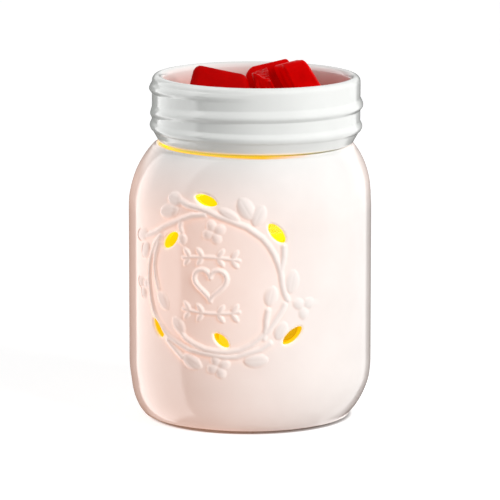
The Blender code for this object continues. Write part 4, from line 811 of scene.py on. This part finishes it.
dish_points = dish_surface()
dish_index = np.arange(dish_points.shape[0] * dish_points.shape[1]).reshape(dish_points.shape[:2])
dish_quads = grid_faces(np.pad(dish_index, ((0, 0), (0, 1)), mode="wrap"))
dish_mesh = make_mesh("dish_shell", on_jar(dish_points), dish_quads)
own = dish_points.reshape(-1, 3)
own_turn = np.degrees(np.arctan2(own[:, 0], -own[:, 1])) - math.degrees(CAMERA_BEARING)
reach = np.hypot(own[:, 0], own[:, 1])
# painted light on the dish's foot edge, low in the seam and strongest on the open side, for the jar's light
# coming up through the gap
foot_light = bell(own[:, 2], 0.0, 0.0007) * fade(reach, 0.0425, 0.0432)
foot_light = foot_light * fade(np.cos(np.radians(own_turn - SEAM_BEARING)), -0.3, 0.3)
# painted light: a little glow over the whole dish for the light through its wall, most on the left, which
# lights that side up
through = 0.02 + 0.07 * fade(np.sin(np.radians(own_turn)), -0.2, -0.95)
# tints of the dish's painted glow
FOOT_GLOW_GOLD = np.array((0.30, 0.15, 0.01))
THROUGH_GLOW_WHITE = np.array((0.94, 1.0, 0.94))
paint(dish_mesh, "glow", foot_light[:, None] * FOOT_GLOW_GOLD + through[:, None] * THROUGH_GLOW_WHITE)
# the bowl's inner wall turns pinker and darker towards its floor
in_bowl = (reach < DISH_INNER + 0.0008) * (own[:, 2] > 0.001)
paint(dish_mesh, "inside", in_bowl * fade(own[:, 2], 0.0296, 0.022))
# the points that meet on the axis are merged, which closes the bowl's middle and the underside
poles = bmesh.new()
poles.from_mesh(dish_mesh)
poles.verts.ensure_lookup_table()
rings = [[poles.verts[at] for at in row] for row in (dish_index[0], dish_index[-1])]
for ring in rings:
    bmesh.ops.pointmerge(poles, verts=ring, merge_co=ring[0].co.copy())
poles.to_mesh(dish_mesh)
poles.free()
dish_mesh.shade_smooth()
dish = place("dish_shell", dish_mesh,
             glaze_material("dish_glaze", (0.80, 0.81, 0.79), (0.84, 0.85, 0.83), (0.72, 0.43, 0.38)))
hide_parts("fragrance_dish")
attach(dish, "dish")

# The wax melts: three cast blocks of deep red scented wax and a broken piece of one, heaped in the bowl.
# Each is cast soft-edged in a mould; the broken piece is rough where it snapped.
MELT_SIZE = 0.0285
MELT_GAP = 0.0003
MELT_ROUNDING, BROKEN_ROUNDING = 0.25, 0.10
MELT_STEPS = {"wax_melt_left": 30, "wax_melt_rear": 30, "wax_melt_right": 64, "wax_chunk": 48}
# painted light per block: emission for light scattered in the wax, set strongest on the right block and
# weakest on the left block
SCATTER_GLOW = {"wax_melt_left": 0.05, "wax_melt_rear": 0.30, "wax_melt_right": 0.50, "wax_chunk": 0.28}
HEAP_TURN = math.radians(18.7)
# each melt's eight corners as shares of its size: across, away and up. The bottom four go round from the
# front left, then the top four
melt_corners = {
    "wax_melt_left": (
        (-1.20, -0.36, 0.12), (0.03, -0.44, 0.00), (0.00, 0.16, 0.00), (-1.20, 0.14, 0.12),
        (-0.96, -0.14, 1.05), (-0.13, -0.10, 0.89), (-0.13, 0.34, 0.78), (-0.97, 0.34, 0.92)),
    "wax_melt_rear": (
        (-0.42, 0.43, 0.00), (0.68, 0.48, 0.00), (0.58, 0.94, 0.00), (-0.34, 1.01, 0.00),
        (-0.13, 0.52, 0.91), (0.53, 0.56, 1.07), (0.50, 0.98, 0.97), (-0.12, 0.94, 0.82)),
    "wax_melt_right": (
        (0.88, -0.46, 0.00), (1.27, -0.40, 0.36), (1.16, 0.36, 0.36), (0.76, 0.36, 0.00),
        (0.39, -0.40, 1.09), (0.76, -0.40, 1.17), (0.67, 0.40, 1.07), (0.22, 0.40, 0.95)),
    "wax_chunk": (
        (0.12, -0.36, 0.00), (0.62, -0.34, 0.00), (0.52, 0.30, 0.00), (0.12, 0.30, 0.00),
        (-0.06, -0.16, 0.93), (0.24, -0.30, 0.80), (0.16, 0.20, 1.00), (-0.08, 0.16, 0.86)),
}


def rough(points, size, seed):
    """Value noise from -1 to 1: random numbers on a lattice with cells of the given size, blended between
    the eight corners of each cell by smoothed shares."""
    table = np.random.default_rng(seed).uniform(-1, 1, (32, 32, 32))
    cell = np.floor(points / size).astype(int)
    share = points / size - cell
    share = share * share * (3 - 2 * share)
    total = np.zeros(len(points))
    for corner_x in (0, 1):
        for corner_y in (0, 1):
            for corner_z in (0, 1):
                weight = np.ones(len(points))
                for axis, side in enumerate((corner_x, corner_y, corner_z)):
                    weight = weight * (share[:, axis] if side else 1 - share[:, axis])
                at = (cell + (corner_x, corner_y, corner_z)) % 32
                total += weight * table[at[:, 0], at[:, 1], at[:, 2]]
    return total


def melt_surface(corners, rounding, steps):
    """Points and quads of a soft-edged block. A lattice over the cube's six faces is pushed in to a rounded
    cube: each point is its own clipped place plus the rounding times the unit way from there to it. Its
    eight corners then carry it to its shape by trilinear blending."""
    flat = np.linspace(-1 + rounding, 1 - rounding, steps - 10)
    bend = 1 - rounding + rounding * np.tan(np.linspace(0, np.pi / 4, 6)[1:])
    line = np.concatenate((-bend[::-1], flat, bend))
    grid = np.stack(np.meshgrid(line, line, line, indexing="ij"), axis=-1)
    skin = np.zeros((len(line),) * 3, bool)
    for axis in range(3):
        skin[(slice(None),) * axis + ([0, -1],)] = True
    index = np.full(skin.shape, -1)
    index[skin] = np.arange(skin.sum())
    faces = []
    for axis in range(3):
        for side in (0, -1):
            face = index.take(side, axis=axis)
            faces.append(grid_faces(face if (side == -1) == (axis != 1) else face.T))
    points = grid[skin]
    core = np.clip(points, -1 + rounding, 1 - rounding)
    way = points - core
    points = core + rounding * way / np.linalg.norm(way, axis=1)[:, None]
    share = (points + 1) / 2
    shape = np.zeros_like(points)
    for number, corner_share in enumerate(corners):
        right, away, top = number % 4 in (1, 2), number % 4 in (2, 3), number > 3
        weight = (share[:, 0] if right else 1 - share[:, 0]) * (share[:, 1] if away else 1 - share[:, 1])
        weight = weight * (share[:, 2] if top else 1 - share[:, 2])
        shape += weight[:, None] * np.array(corner_share) * MELT_SIZE
    return points, shape, np.concatenate(faces)


def wax_material(name, scatter_glow):
    """Dyed paraffin: deep red with slightly lighter and darker clouds, a waxy sheen and a fine uneven skin.
    The light scattered in the block is painted as emission of a share of its own colour; the share is given
    per block, which paints some blocks lighter than others."""
    material, tree, shader = new_material(name)
    noise = tree.nodes.new("ShaderNodeTexNoise")
    noise.inputs["Scale"].default_value = 160
    noise.inputs["Detail"].default_value = 5
    tree.links.new(tree.nodes.new("ShaderNodeTexCoord").outputs["Object"], noise.inputs["Vector"])
    ramp = tree.nodes.new("ShaderNodeValToRGB")
    ramp.color_ramp.elements[0].position, ramp.color_ramp.elements[1].position = 0.3, 0.75
    ramp.color_ramp.elements[0].color = (0.40, 0.0, 0.0, 1)
    ramp.color_ramp.elements[1].color = (0.54, 0.0, 0.0, 1)
    tree.links.new(noise.outputs["Fac"], ramp.inputs["Fac"])
    tree.links.new(ramp.outputs["Color"], shader.inputs["Base Color"])
    tree.links.new(ramp.outputs["Color"], shader.inputs["Emission Color"])
    shader.inputs["Emission Strength"].default_value = scatter_glow
    shader.inputs["Roughness"].default_value = 0.32
    shader.inputs["Specular IOR Level"].default_value = 0.05
    bump = tree.nodes.new("ShaderNodeBump")
    bump.inputs["Strength"].default_value = 0.25
    bump.inputs["Distance"].default_value = 0.0003
    tree.links.new(noise.outputs["Fac"], bump.inputs["Height"])
    tree.links.new(bump.outputs["Normal"], shader.inputs["Normal"])
    return material


heap_across = np.array((math.cos(HEAP_TURN), math.sin(HEAP_TURN), 0))
heap_away = np.array((-math.sin(HEAP_TURN), math.cos(HEAP_TURN), 0))
for number, (name, corners) in enumerate(melt_corners.items()):
    broken = name == "wax_chunk"
    cube, shape, faces = melt_surface(corners, BROKEN_ROUNDING if broken else MELT_ROUNDING, MELT_STEPS[name])
    outward = shape - shape.mean(axis=0)
    outward = outward / np.linalg.norm(outward, axis=1)[:, None]
    if broken:
        uneven = 0.0007 * rough(shape, 0.0035, 5) + 0.0006 * np.abs(rough(shape, 0.0016, 6)) - 0.0006
        uneven += 0.00018 * rough(shape, 0.0007, 7)
    else:
        uneven = 0.00025 * (rough(shape, 0.008, number) - 0.6)
    if name == "wax_melt_right":
        # the streaks down this block's left side, where it was broken off its neighbour
        side = fade(cube[:, 0], -0.93, -0.99)
        streaks = 0.00016 * np.sin(cube[:, 1] * 31) + 0.00010 * rough(shape * (0, 1, 0), 0.0006, 9)
        uneven += side * (streaks - 0.00012)
    shape = shape + outward * uneven[:, None]
    standing = shape[:, :1] * heap_across + shape[:, 1:2] * heap_away + shape[:, 2:] * np.array((0, 0, 1))
    standing = on_jar(standing + (0, 0, BOWL_FLOOR + MELT_GAP))
    melt = place(name + "_cast", make_mesh(name + "_cast", standing, faces),
                 wax_material(name + "_wax", SCATTER_GLOW[name]))
    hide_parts(name)
    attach(melt, "dish")
